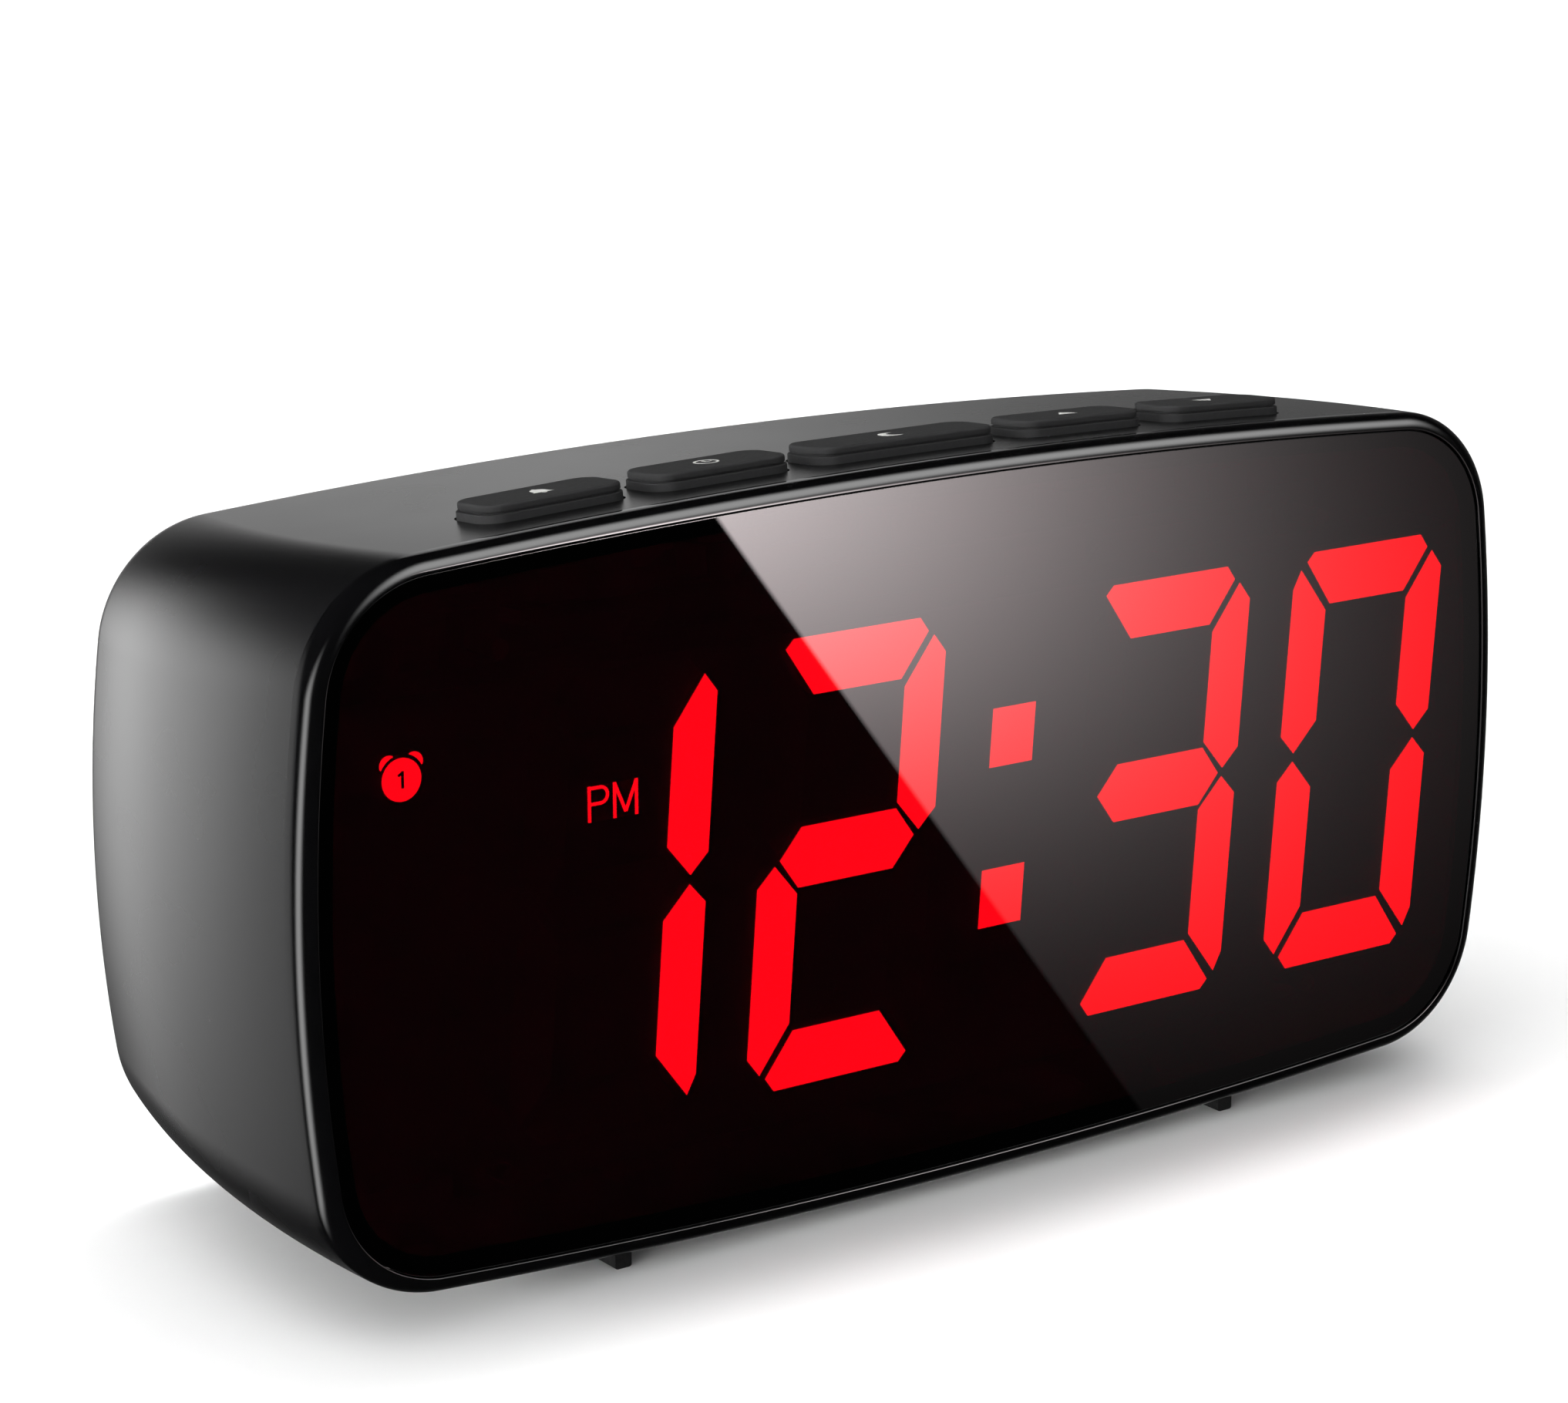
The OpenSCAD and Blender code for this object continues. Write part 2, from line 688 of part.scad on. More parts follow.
// One bar of a digit about the digit's centre, drawn in by e on all sides
function segment(name, e) =
    let (
        w = digit_w / 2 - e,
        h = digit_h / 2 - e,
        v = bar_v - 2 * e,
        l = bar_h - 2 * e,
        gap = bar_gap / 2 + e,
        mitre = norm([v, l]),
        k = l / v,
        gx = gap * mitre / l,
        gz = gap * mitre / v,
        tip = w - tip_in + e,
        a_end = (digit_cut - gx) / (v + l),
        b_end = (digit_cut - gz) / (v + l),
        a_cut = [w - gx - a_end * v, h - a_end * l],
        b_cut = [w - b_end * v, h - gz - b_end * l],
        foot = w - v - gx,
        outer = gz + (w - tip) * k,
        inner = gz + (tip - w + v) * k,
        knee = tip - gx - l / 2 / k,
        top = [[-w + digit_cut, h], [w - digit_cut, h], a_cut,
            [foot, h - l], [-foot, h - l], [-a_cut.x, a_cut.y]],
        upper = [b_cut, [w, h - digit_cut], [w, waist_up + outer], [tip, waist_up + gz],
            [w - v, waist_up + inner], [w - v, h - l - gz]],
        lower = [[b_cut.x, -b_cut.y], [w, -h + digit_cut], [w, waist_up - outer], [tip, waist_up - gz],
            [w - v, waist_up - inner], [w - v, -h + l + gz]],
        middle = [[tip - gx, waist_up], [knee, waist_up + l / 2], [-knee, waist_up + l / 2],
            [-tip + gx, waist_up], [-knee, waist_up - l / 2], [knee, waist_up - l / 2]]
    )
    name == "a" ? top
    : name == "b" ? upper
    : name == "c" ? lower
    : name == "d" ? [for (p = top) [p.x, -p.y]]
    : name == "e" ? [for (p = lower) [-p.x, p.y]]
    : name == "f" ? [for (p = upper) [-p.x, p.y]]
    : middle;

function is_lit(digit, name) = len(search(name, shown[digit])) > 0;
function leaned(points, at) = [for (p = points) [at.x + p.x + lean * p.y, at.y + p.y]];
function dot(side, e) =
    let (s = [colon_w, colon_h] / 2 - [e, e], z = waist_up + side * colon_rise)
    [[-s.x, z - s.y], [s.x, z - s.y], [s.x, z + s.y], [-s.x, z + s.y]];

// Flat shapes of the bars that are lit, or of those that are not
module bars(lit, e) {
    for (d = [0 : 3]) for (name = "abcdefg")
        if (is_lit(d, name) == lit) polygon(leaned(segment(name, e), [digit_x[d], row_z]));
    if (lit) for (side = [-1, 1]) polygon(leaned(dot(side, e), [row_x, row_z]));
}

// Flat shape of a bell that hugs the dial
module bell(e) {
    r = sign_r + bell_gap;
    wide = 2 * (r + bell_t) * tan(bell_span / 2);
    intersection() {
        difference() {
            circle(r = r + bell_t - e);
            circle(r = r + e);
        }
        polygon([[0, 0], [wide, 2 * (r + bell_t)], [-wide, 2 * (r + bell_t)]]);
    }
}

// Flat shapes of the alarm sign's dial with its two bells, and of the half-day mark
module signs(e) {
    translate(sign_at) {
        circle(r = sign_r - e);
        for (side = [-1, 1]) rotate(-side * bell_lean) bell(e);
    }
    translate(mark_at) square([mark_w - 2 * e, mark_h - 2 * e], center = true);
}

module digit_reflector() {
    tall = reflector_top - reflector_bottom;
    color("#101010") difference() {
        intersection() {
            front_plate(reflector_in, reflector_front, board_front);
            between(reflector_front - eps, board_front + eps)
                translate([-case_w / 2, reflector_bottom]) square([case_w, tall]);
        }
        between(reflector_front - eps, board_front + eps) bars(true, 0);
        between(reflector_front - eps, board_front + eps) bars(false, 0);
        between(reflector_front - eps, board_front + eps) signs(0);
        for (s = display_screw_spots)
            bar(s, small_screw_r, board_front - small_grip - eps, board_front + eps);
    }
}

module lit_segments() {
    color("#ff0a1e") between(reflector_front, reflector_front + pipe_d) bars(true, pipe_play);
}

module unlit_segments() {
    color("#240406") between(reflector_front, reflector_front + pipe_d) bars(false, pipe_play);
}

module display_signs() {
    color("#ff0a1e") between(reflector_front, reflector_front + pipe_d) signs(pipe_play);
}

// One small lamp on the board behind each bar, dot and sign
module segment_lamps() {
    uprights = [digit_w / 2 - bar_v / 2, digit_h / 4];
    level = digit_h / 2 - bar_h / 2;
    spots = concat(
        [for (x = digit_x) each leaned([for (sx = [-1, 1]) for (sz = [-1, 1])
            [sx * uprights.x, sz * uprights.y]], [x, row_z])],
        [for (x = digit_x) each leaned([for (z = [-level, waist_up, level]) [0, z]], [x, row_z])],
        leaned([for (side = [-1, 1]) [0, waist_up + side * colon_rise]], [row_x, row_z]),
        [sign_at, mark_at]
    );
    color("#e8e2c8") between(board_front - lamp_w / 2, board_front)
        for (s = spots) translate(s) square(lamp_w, center = true);
}

// Boards and what they carry

module main_board() {
    side = case_w / 2 - board_room;
    ear = boss_r + well_wall;
    notch = key_board_x + 3 * fit_play;
    low = reflector_bottom;
    high = reflector_top;
    half = [
        [side, low], [side, high], [screw_x + ear, high], [screw_x + ear, screw_top + ear],
        [notch, screw_top + ear], [notch, high]
    ];
    mirrored = [for (i = [len(half) - 1 : -1 : 0]) [-half[i].x, half[i].y]];
    foot = [
        [-screw_x - ear, low], [-screw_x - ear, screw_bottom - ear],
        [screw_x + ear, screw_bottom - ear], [screw_x + ear, low]
    ];
    color("#1f5a35") difference() {
        between(board_front, board_back) polygon(concat(half, mirrored, foot));
        for (s = screw_spots) bar(s, screw_r + fit_play, board_front - eps, board_back + eps);
        for (s = display_screw_spots) bar(s, small_screw_r + fit_play, board_front - eps, board_back + eps);
    }
}

module clock_chip() {
    color("#141414") between(board_back, board_back + chip_h)
        translate([0, row_z - chip_w]) square(chip_w, center = true);
}

module crystal() {
    color("#c8c8c4") translate([-2 * chip_w, y_front + board_back + crystal_r, z_mid + row_z + chip_w])
        rotate([0, 90, 0]) cylinder(r = crystal_r, h = crystal_len);
}

module key_board() {
    color("#1f5a35") at_key_row() translate([0, 0, key_board_top - board_t]) difference() {
        translate([-key_board_x, key_board_y[0], 0])
            cube([2 * key_board_x, key_board_y[1] - key_board_y[0], board_t]);
        for (p = key_post_spots) translate([p.x, p.y, -eps])
            cylinder(r = small_screw_r + fit_play, h = board_t + 2 * eps);
    }
}

module switch_bodies() {
    color("#26282b") at_key_row() for (x = key_x) translate([x, 0, key_board_top]) difference() {
        translate([-switch_w / 2, -switch_w / 2, 0]) cube([switch_w, switch_w, switch_h]);
        translate([0, 0, switch_h - plunger_in - plunger_up])
            cylinder(r = plunger_r + plunger_play, h = plunger_in + plunger_up + eps);
    }
}

module plunger(i) {
    color("#d8d8d2") at_key_row() translate([key_x[i], 0, switch_top - plunger_in])
        cylinder(r = plunger_r, h = plunger_in + plunger_up);
}

module alarm_plunger() { plunger(0); }
module set_plunger() { plunger(1); }
module snooze_plunger() { plunger(2); }
module up_plunger() { plunger(3); }
module down_plunger() { plunger(4); }

// Keys

// A key from flange to top: a skirt, a groove round it and a cap that is drawn in a little
module key(i) {
    w = key_widths[i];
    drop = top_z(0, key_y, 0) - top_z(key_x[i], key_y, 0);
    under = flange_top - flange_t;
    stem_end = plunger_top + drop + stem_gap;
    color("#232324") at_key(i) {
        translate([0, 0, flange_top - flange_t]) linear_extrude(flange_t)
            rounded(w + 2 * flange_w, key_d + 2 * flange_w, key_r + flange_w);
        translate([0, 0, flange_top]) linear_extrude(groove_up - flange_top) rounded(w, key_d, key_r);
        translate([0, 0, groove_up]) linear_extrude(groove_w)
            rounded(w - 2 * groove_in, key_d - 2 * groove_in, key_r - groove_in);
        translate([0, 0, groove_up + groove_w]) linear_extrude(key_proud - groove_up - groove_w)
            rounded(w - 2 * cap_in, key_d - 2 * cap_in, key_r - cap_in);
        translate([0, 0, stem_end]) cylinder(r = stem_r, h = under - stem_end);
    }
}

module alarm_key() { key(0); }
module set_key() { key(1); }
module snooze_key() { key(2); }
module up_key() { key(3); }
module down_key() { key(4); }

// Sounder, power jack and cell behind the back wall

module sounder() {
    color("#111112") at_back(sounder_at) back_bar(sounder_r, wall, wall + sounder_t);
}

module dc_jack() {
    color("#0d0d0e") at_back(jack_at) {
        difference() {
            union() {
                back_bar(jack_flange_r, jack_inset, jack_inset + jack_flange_t);
                back_bar(jack_r, jack_inset, jack_len);
            }
            back_bar(jack_bore_r, -eps, jack_bore_d);
        }
        back_bar(jack_pin_r, jack_inset + jack_flange_t, jack_bore_d + eps);
        for (side = [-1, 1]) translate([0, side * jack_r / 2, jack_len + jack_tab_len / 2])
            cube([jack_tab_w, jack_tab_t, jack_tab_len], center = true);
    }
}

module jack_nut() {
    color("#b9b9b4") at_back(jack_at) difference() {
        translate([0, 0, wall]) cylinder(r = jack_nut_r, h = jack_nut_t, $fn = 6);
        back_bar(jack_r + jack_nut_play, wall - eps, wall + jack_nut_t + eps);
    }
}

module battery_cap() {
    color("#1c1c1d") at_back(cap_at) difference() {
        union() {
            back_bar(cap_r, cap_inset, cap_under);
            back_bar(neck_r, cap_inset, lug_bottom);
            for (side = [0, 180]) sector(neck_r - neck_wall, lug_r, lug_top, lug_bottom, side, lug_span);
        }
        back_bar(neck_r - neck_wall, cap_under, lug_bottom + eps);
        translate([0, 0, cap_inset]) cube([cap_r * 1.3, coin_slot_w, 2 * coin_slot_d], center = true);
    }
}

module coin_cell() {
    color("#c9c9c6") at_back(cap_at) back_bar(cell_r, cell_top, cell_bottom);
}

module positive_contact() {
    color("#d9c27a") at_back(cap_at)
        sector(cell_r + clip_gap, cell_r + clip_gap + contact_t, cell_top, contact_tail,
            90 - clip_span / 2, clip_span);
}

module negative_contact() {
    color("#d9c27a") at_back(cap_at) {
        back_bar(plate_r, cell_bottom, pocket_bottom);
        translate([-tail_w / 2, -contact_t / 2, cell_bottom])
            cube([tail_w, contact_t, contact_tail - cell_bottom]);
    }
}

// Fasteners

module case_screws() {
    seat = board_back + well_floor;
    color("#8f9094") for (s = screw_spots) {
        bar(s, screw_r, board_front - screw_grip, seat);
        bar(s, screw_head_r, seat, seat + screw_head_h);
    }
}

module key_board_screws() {
    under = key_board_top - board_t;
    color("#8f9094") at_key_row() for (p = key_post_spots) translate(p) {
        translate([0, 0, under]) cylinder(r = small_screw_r, h = board_t + small_grip);
        translate([0, 0, under - small_head_h]) cylinder(r = small_head_r, h = small_head_h);
    }
}

module display_screws() {
    color("#8f9094") for (s = display_screw_spots) {
        bar(s, small_screw_r, board_front - small_grip, board_back);
        bar(s, small_head_r, board_back, board_back + small_head_h);
    }
}

// Skids

module left_skid() { color("#0f0f10") skid(-1, 0); }
module right_skid() { color("#0f0f10") skid(1, 0); }

// Leads

// Flat lead from a point behind the front to the main board, stepping sideways on the way
module lead(from, start, to, z) {
    near = y_front + board_back;
    far = y_front + start;
    bend = [near + (far - near) / 3, near + (far - near) * 2 / 3];
    translate([0, 0, z_mid + z - lead_w / 2]) linear_extrude(lead_w)
        strip([[from, far], [from, bend[1]], [to, bend[0]], [to, near]], lead_t);
}

module power_lead() {
    color("#202024") lead(jack_at.x, case_d - jack_len - jack_tab_len, jack_at.x / 1.5, jack_at.y);
}

module sounder_lead() {
    color("#a02020") lead(sounder_at.x, case_d - wall - sounder_t, sounder_at.x + chip_w, sounder_at.y);
}

module cell_lead() {
    color("#202024") lead(cap_at.x, case_d - contact_tail, cap_at.x / 1.5, cap_at.y);
}

// Ribbon from the underside of the key board down and forward to the main board
module key_ribbon() {
    y_drop = y_front + board_back + ribbon_back;
    drop = (board_t - key_board_top) / cos(taper_angle) + ribbon_t * tan(taper_angle);
    board_under = top_z(0, y_drop, 0) - drop;
    reach = z_mid + reflector_top - ribbon_low;
    color("#c8c8c8") translate([ribbon_x - ribbon_w / 2, 0, 0]) rotate([90, 0, 90]) linear_extrude(ribbon_w)
        strip([[y_drop, board_under], [y_drop, reach], [y_front + board_back, reach]], ribbon_t);
}

housing();
front_bezel();
display_lens();
lens_tape();
digit_reflector();
lit_segments();
unlit_segments();
display_signs();
segment_lamps();
main_board();
clock_chip();
crystal();
key_board();
switch_bodies();
alarm_plunger();
set_plunger();
snooze_plunger();
up_plunger();
down_plunger();
alarm_key();
set_key();
snooze_key();
up_key();
down_key();
sounder();
dc_jack();
jack_nut();
battery_cap();
coin_cell();
positive_contact();
negative_contact();
case_screws();
key_board_screws();
display_screws();
left_skid();
right_skid();
key_ribbon();
power_lead();
sounder_lead();
cell_lead();
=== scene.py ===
"""Looks of a bedside alarm clock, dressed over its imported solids.

Shapes are worked out in millimetres in the part's frame: X to the right seen from the front, Y from the
display to the back, Z up from the surface that the clock stands on.
"""

import logging
import math
from collections.abc import Sequence
from dataclasses import dataclass, field
from enum import Enum

import bmesh
import bpy
import numpy as np
from mathutils import Matrix


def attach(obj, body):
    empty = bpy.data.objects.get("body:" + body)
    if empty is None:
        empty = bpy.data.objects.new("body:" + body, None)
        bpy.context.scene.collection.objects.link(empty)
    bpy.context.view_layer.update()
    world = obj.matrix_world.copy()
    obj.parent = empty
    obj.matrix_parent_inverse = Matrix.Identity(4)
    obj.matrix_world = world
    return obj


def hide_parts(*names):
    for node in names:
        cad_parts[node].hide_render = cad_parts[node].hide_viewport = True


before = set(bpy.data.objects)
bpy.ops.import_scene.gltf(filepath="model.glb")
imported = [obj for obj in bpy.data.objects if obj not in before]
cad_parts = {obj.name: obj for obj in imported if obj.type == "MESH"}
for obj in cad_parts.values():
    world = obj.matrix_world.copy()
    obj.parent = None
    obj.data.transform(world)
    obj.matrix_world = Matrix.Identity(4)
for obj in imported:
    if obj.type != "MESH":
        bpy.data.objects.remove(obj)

Array = np.ndarray
Colour = tuple[float, float, float, float]
Spot = tuple[float, float]
Mesh = bpy.types.Mesh
Tree = bpy.types.NodeTree
Socket = bpy.types.NodeSocket
MM = 0.001
CREASE = 32.0
NOISE_LOW, NOISE_HIGH, NOISE_DETAIL = 0.3, 0.7, 3.0
LOG = logging.getLogger("clock")
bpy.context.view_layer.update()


def linear(code: str) -> Colour:
    """Turn an sRGB hex colour into a linear one.

    Args:
        code: Colour such as "#1c1c1d".

    Returns:
        Linear red, green, blue and an alpha of 1.
    """
    c = np.array([int(code[i : i + 2], 16) for i in (1, 3, 5)]) / 255
    c = np.where(c <= 0.04045, c / 12.92, ((c + 0.055) / 1.055) ** 2.4)
    return (*c.tolist(), 1.0)


def add(tree: Tree, kind: str, ins: dict | None = None, **settings: object) -> bpy.types.Node:
    """Add a node with its settings and links.

    Args:
        tree: Node tree that gets the node.
        kind: Blender's name of the node type.
        ins: Values or sockets for the node's inputs, by input name or number.
        settings: Attributes of the node itself.

    Returns:
        The new node.
    """
    made = tree.nodes.new(kind)
    for key, value in settings.items():
        setattr(made, key, value)
    for key, value in (ins or {}).items():
        if isinstance(value, Socket):
            tree.links.new(value, made.inputs[key])
        else:
            made.inputs[key].default_value = value
    return made


class Grain(Enum):
    """Way in which a surface was made, as far as its fine pattern shows it."""

    MOULDED = (1.0, 1.0, 1.0)
    BRUSHED = (0.08, 1.0, 1.0)
    TURNED = (1.0, 0.1, 1.0)


@dataclass(frozen=True)
class Finish:
    """A finish with a fine pattern that moves its colour, its roughness and its relief.

    The pattern is noise on Object coordinates whose cell has the size grain_mm. Colour goes from colour to
    tone, and roughness from roughness - spread to roughness + spread, as the noise goes from low to high.
    """

    name: str
    colour: str
    tone: str
    roughness: float
    spread: float = 0.04
    metallic: float = 0.0
    ior: float = 1.5
    grain: Grain = Grain.MOULDED
    grain_mm: float = 1.0
    relief_mm: float = 0.0
    transmission: float = 0.0
    glow: str = "#000000"
    glow_strength: float = 0.0

    def material(self) -> bpy.types.Material:
        """Make the material, or find it where it was made before.

        Returns:
            Material with one Principled shader.
        """
        known = bpy.data.materials.get(self.name)
        if known:
            return known
        made = bpy.data.materials.new(self.name)
        made.use_nodes = True
        tree = made.node_tree
        tree.nodes.clear()
        place = add(tree, "ShaderNodeTexCoord")
        stretch = add(
            tree, "ShaderNodeMapping", {"Vector": place.outputs["Object"], "Scale": self.grain.value}
        )
        noise = add(
            tree,
            "ShaderNodeTexNoise",
            {"Vector": stretch.outputs["Vector"], "Scale": 1 / (self.grain_mm * MM), "Detail": NOISE_DETAIL},
        )
        rough = add(
            tree,
            "ShaderNodeMapRange",
            {
                "Value": noise.outputs["Fac"],
                "From Min": NOISE_LOW,
                "From Max": NOISE_HIGH,
                "To Min": max(self.roughness - self.spread, 0.0),
                "To Max": self.roughness + self.spread,
            },
        )
        ins: dict = {
            "Base Color": linear(self.colour),
            "Roughness": rough.outputs["Result"],
            "Metallic": self.metallic,
            "IOR": self.ior,
            "Transmission Weight": self.transmission,
            "Emission Color": linear(self.glow),
            "Emission Strength": self.glow_strength,
        }
        if self.tone != self.colour:
            blend = add(
                tree,
                "ShaderNodeMix",
                {0: noise.outputs["Fac"], 6: linear(self.colour), 7: linear(self.tone)},
                data_type="RGBA",
            )
            ins["Base Color"] = blend.outputs[2]
        if self.relief_mm:
            bump = add(
                tree,
                "ShaderNodeBump",
                {"Height": noise.outputs["Fac"], "Distance": self.relief_mm * MM, "Strength": 1.0},
            )
            ins["Normal"] = bump.outputs["Normal"]
        shader = add(tree, "ShaderNodeBsdfPrincipled", ins)
        add(tree, "ShaderNodeOutputMaterial", {"Surface": shader.outputs["BSDF"]})
        return made


# Satin ABS: near black, with a soft sheen. The rim is polished to a mirror and shows the mirrors' own cards.
CASE_ABS = Finish("Satin black ABS", "#0a0a0b", "#0c0c0d", 0.27, 0.008, ior=1.53, grain_mm=16.0)
RIM_ABS = Finish("Polished black ABS rim", "#040404", "#060607", 0.0015, 0.0015, ior=1.53, grain_mm=7.0)
# Smoked acrylic: clear and smooth, stained a deep red-brown that hides what isn't lit. It is a little rougher
# than a mirror, so that the mirrors' cards stay out of it.
SMOKED_ACRYLIC = Finish(
    "Smoked acrylic", "#3f0514", "#3f0514", 0.007, 0.002, ior=1.49, grain_mm=14.0, transmission=1.0
)
# Diffuser resin: milky red epoxy, lit from behind until it looks flat. Unlit, it is a dull dark red.
LIT_RESIN = Finish(
    "Lit red epoxy", "#d0081a", "#e00a1c", 0.35, 0.05, grain_mm=2.5, glow="#ff3c3f", glow_strength=23.4
)
DARK_RESIN = Finish("Unlit red epoxy", "#5e1014", "#681317", 0.4, 0.05, grain_mm=2.5)
# Moulded PBT: black and dull, with a fine grain that shows no highlight.
REFLECTOR_PBT = Finish("Black PBT", "#161414", "#1b1818", 0.55, 0.08, grain_mm=0.6, relief_mm=0.01)
JACK_PBT = Finish("Black PBT inlet", "#101011", "#18181a", 0.42, 0.06, grain_mm=0.5, relief_mm=0.008)
# Matte ABS with spark-eroded grain: soft dark grey that scatters light. The grain is drawn coarser to show.
KEY_ABS = Finish(
    "Grained black ABS", "#222223", "#2a2a2b", 0.85, 0.06, ior=1.53, grain_mm=0.5, relief_mm=0.012
)
# Rubber and foam: black, without any shine.
SKID_RUBBER = Finish("Black rubber", "#0a0a0b", "#101011", 0.85, 0.08, grain_mm=0.7, relief_mm=0.02)
FOAM_TAPE = Finish("Black foam tape", "#0c0c0c", "#131313", 0.85, 0.08, grain_mm=0.3, relief_mm=0.02)
# Pad-printed ink: flat pale grey.
PAD_INK = Finish("Pale grey pad print", "#a9a9a6", "#bcbcb8", 0.6, 0.08, grain_mm=0.35)
# Solder resist: green lacquer, half glossy over the weave of the board.
BOARD_RESIST = Finish("Green solder resist", "#1b5a34", "#24703f", 0.38, 0.08, grain_mm=1.6, relief_mm=0.01)
# Moulded epoxy and nylon: dark grey and dull. The lamps' epoxy is clear, seen as pale straw.
CHIP_EPOXY = Finish("Black moulding epoxy", "#161617", "#1f1f20", 0.6, 0.08, grain_mm=0.4, relief_mm=0.01)
SWITCH_NYLON = Finish("Black nylon", "#1e2023", "#292b2f", 0.5, 0.08, grain_mm=0.5, relief_mm=0.01)
LAMP_EPOXY = Finish("Clear lamp epoxy", "#e6dfc4", "#f2ecd6", 0.2, 0.05, grain_mm=0.8)
WHITE_POM = Finish("White POM", "#dedcd4", "#ece9e0", 0.4, 0.05, grain_mm=0.8)
# Metals: plated or rolled steel and brass, whose fine lines stretch the shine along them.
BRIGHT_STEEL = Finish(
    "Nickel-plated steel", "#bdbcb6", "#d2d1cc", 0.28, 0.08, metallic=1.0, grain=Grain.BRUSHED, grain_mm=0.3
)
SCREW_STEEL = Finish(
    "Zinc-plated steel", "#8a8c90", "#a4a6aa", 0.36, 0.08, metallic=1.0, grain=Grain.TURNED, grain_mm=0.3
)
SPRING_BRASS = Finish(
    "Spring brass", "#c9a95c", "#dcc078", 0.3, 0.08, metallic=1.0, grain=Grain.BRUSHED, grain_mm=0.3
)
# Lead sheaths: plain PVC with a dull, even shine.
GREY_SHEATH = Finish("Grey PVC", "#a8a8a6", "#b8b8b6", 0.5, 0.06, grain_mm=0.8)
BLACK_SHEATH = Finish("Black PVC", "#161618", "#202022", 0.5, 0.06, grain_mm=0.8)
RED_SHEATH = Finish("Red PVC", "#8e1a1a", "#a52020", 0.5, 0.06, grain_mm=0.8)
# Paper: flat white.
WHITE_PAPER = Finish("White paper floor", "#e9e9e9", "#ececec", 0.9, 0.04, grain_mm=30.0)


@dataclass
class Skin:
    """Points and faces of one closed surface or of several, in millimetres."""

    points: Array
    faces: list[list[int]]

    def placed(self, turn: Array, origin: Array) -> "Skin":
        """Turn the points by a 3 x 3 matrix, then move them to origin."""
        return Skin(self.points @ np.asarray(turn, float).T + np.asarray(origin, float), self.faces)


def joined(skins: Sequence[Skin]) -> Skin:
    """Put several skins into one.

    Args:
        skins: Skins whose points stay where they are.

    Returns:
        One skin with all points and faces.
    """
    starts = np.cumsum([0] + [len(s.points) for s in skins])
    faces = [[i + int(k) for i in f] for s, k in zip(skins, starts) for f in s.faces]
    return Skin(np.concatenate([s.points for s in skins]), faces)


def loft(rings: Array, closed: bool = False) -> Skin:
    """Join rings of points with four-sided faces.

    Point (i, j) of the grid joins its neighbours (i + 1, j) and (i, j + 1), and j wraps round.

    Args:
        rings: Points as (rings, points of a ring, 3).
        closed: True where the last ring joins the first. Otherwise a flat cap closes each end.

    Returns:
        A closed skin.
    """
    m, n = rings.shape[:2]
    i = np.arange(m if closed else m - 1)[:, None]
    j = np.arange(n)[None, :]
    i1, j1 = (i + 1) % m, (j + 1) % n
    quads = np.stack([i * n + j, i * n + j1, i1 * n + j1, i1 * n + j], -1).reshape(-1, 4).tolist()
    caps = [] if closed else [list(range(n)), list(range((m - 1) * n, m * n))]
    return Skin(rings.reshape(-1, 3), quads + caps)


def lathe(profile: Sequence[Sequence[float]], steps: int = 72, closed: bool = False) -> Skin:
    """Carry a profile of radius and height round the Z axis: (r cos t, r sin t, h).

    Args:
        profile: Pairs of radius and height.
        steps: Points round the axis.
        closed: True where the profile is a loop. Otherwise both ends run in to a small flat core.

    Returns:
        A closed skin.
    """
    core = 0.1
    p = np.asarray(profile, float)
    if not closed:
        p = np.concatenate([[[core, p[0, 1]]], p, [[core, p[-1, 1]]]])
    t = np.linspace(0, 2 * np.pi, steps, endpoint=False)
    r, h = p[:, :1], p[:, 1:]
    return loft(np.stack([r * np.cos(t), r * np.sin(t), h + 0 * t], -1), closed)


def prism(outline: Array, low: float, high: float) -> Skin:
    """Raise a flat outline along Z.

    Args:
        outline: Points as (n, 2).
        low: Height of the lower face.
        high: Height of the upper face.

    Returns:
        A closed skin.
    """
    flat = np.stack([np.column_stack([outline, np.full(len(outline), h)]) for h in (low, high)])
    return loft(flat)


def arc(centre: Sequence[float], r: float, start: float, end: float, steps: int = 8) -> Array:
    """Points on an arc: centre + r (cos t, sin t), with t from start to end in degrees."""
    t = np.radians(np.linspace(start, end, steps))
    return np.asarray(centre, float) + r * np.column_stack([np.cos(t), np.sin(t)])


def stroke(path: Sequence[Sequence[float]], width: float) -> Array:
    """Outline of a pen line: each point moved to both sides by half the width along the path's normal.

    Args:
        path: Points of the pen's way, as (n, 2).
        width: Width of the line.

    Returns:
        Closed outline as (2 n, 2).
    """
    p = np.asarray(path, float)
    way = np.gradient(p, axis=0)
    way /= np.linalg.norm(way, axis=1, keepdims=True)
    side = np.column_stack([-way[:, 1], way[:, 0]]) * width / 2
    return np.concatenate([p + side, (p - side)[::-1]])


def turn_x(deg: float) -> Array:
    """Matrix of a turn about X."""
    c, s = math.cos(math.radians(deg)), math.sin(math.radians(deg))
    return np.array([[1, 0, 0], [0, c, -s], [0, s, c]])


def turn_y(deg: float) -> Array:
    """Matrix of a turn about Y."""
    c, s = math.cos(math.radians(deg)), math.sin(math.radians(deg))
    return np.array([[c, 0, s], [0, 1, 0], [-s, 0, c]])


# Corners of a square with half a side of 1, in their order round it.
SQUARE = np.array([[-1, -1], [1, -1], [1, 1], [-1, 1]])
# Turn that stands a flat shape upright: its own Z then points to the front.
UPRIGHT = np.array([[1.0, 0, 0], [0, 0, -1.0], [0, 1.0, 0]])


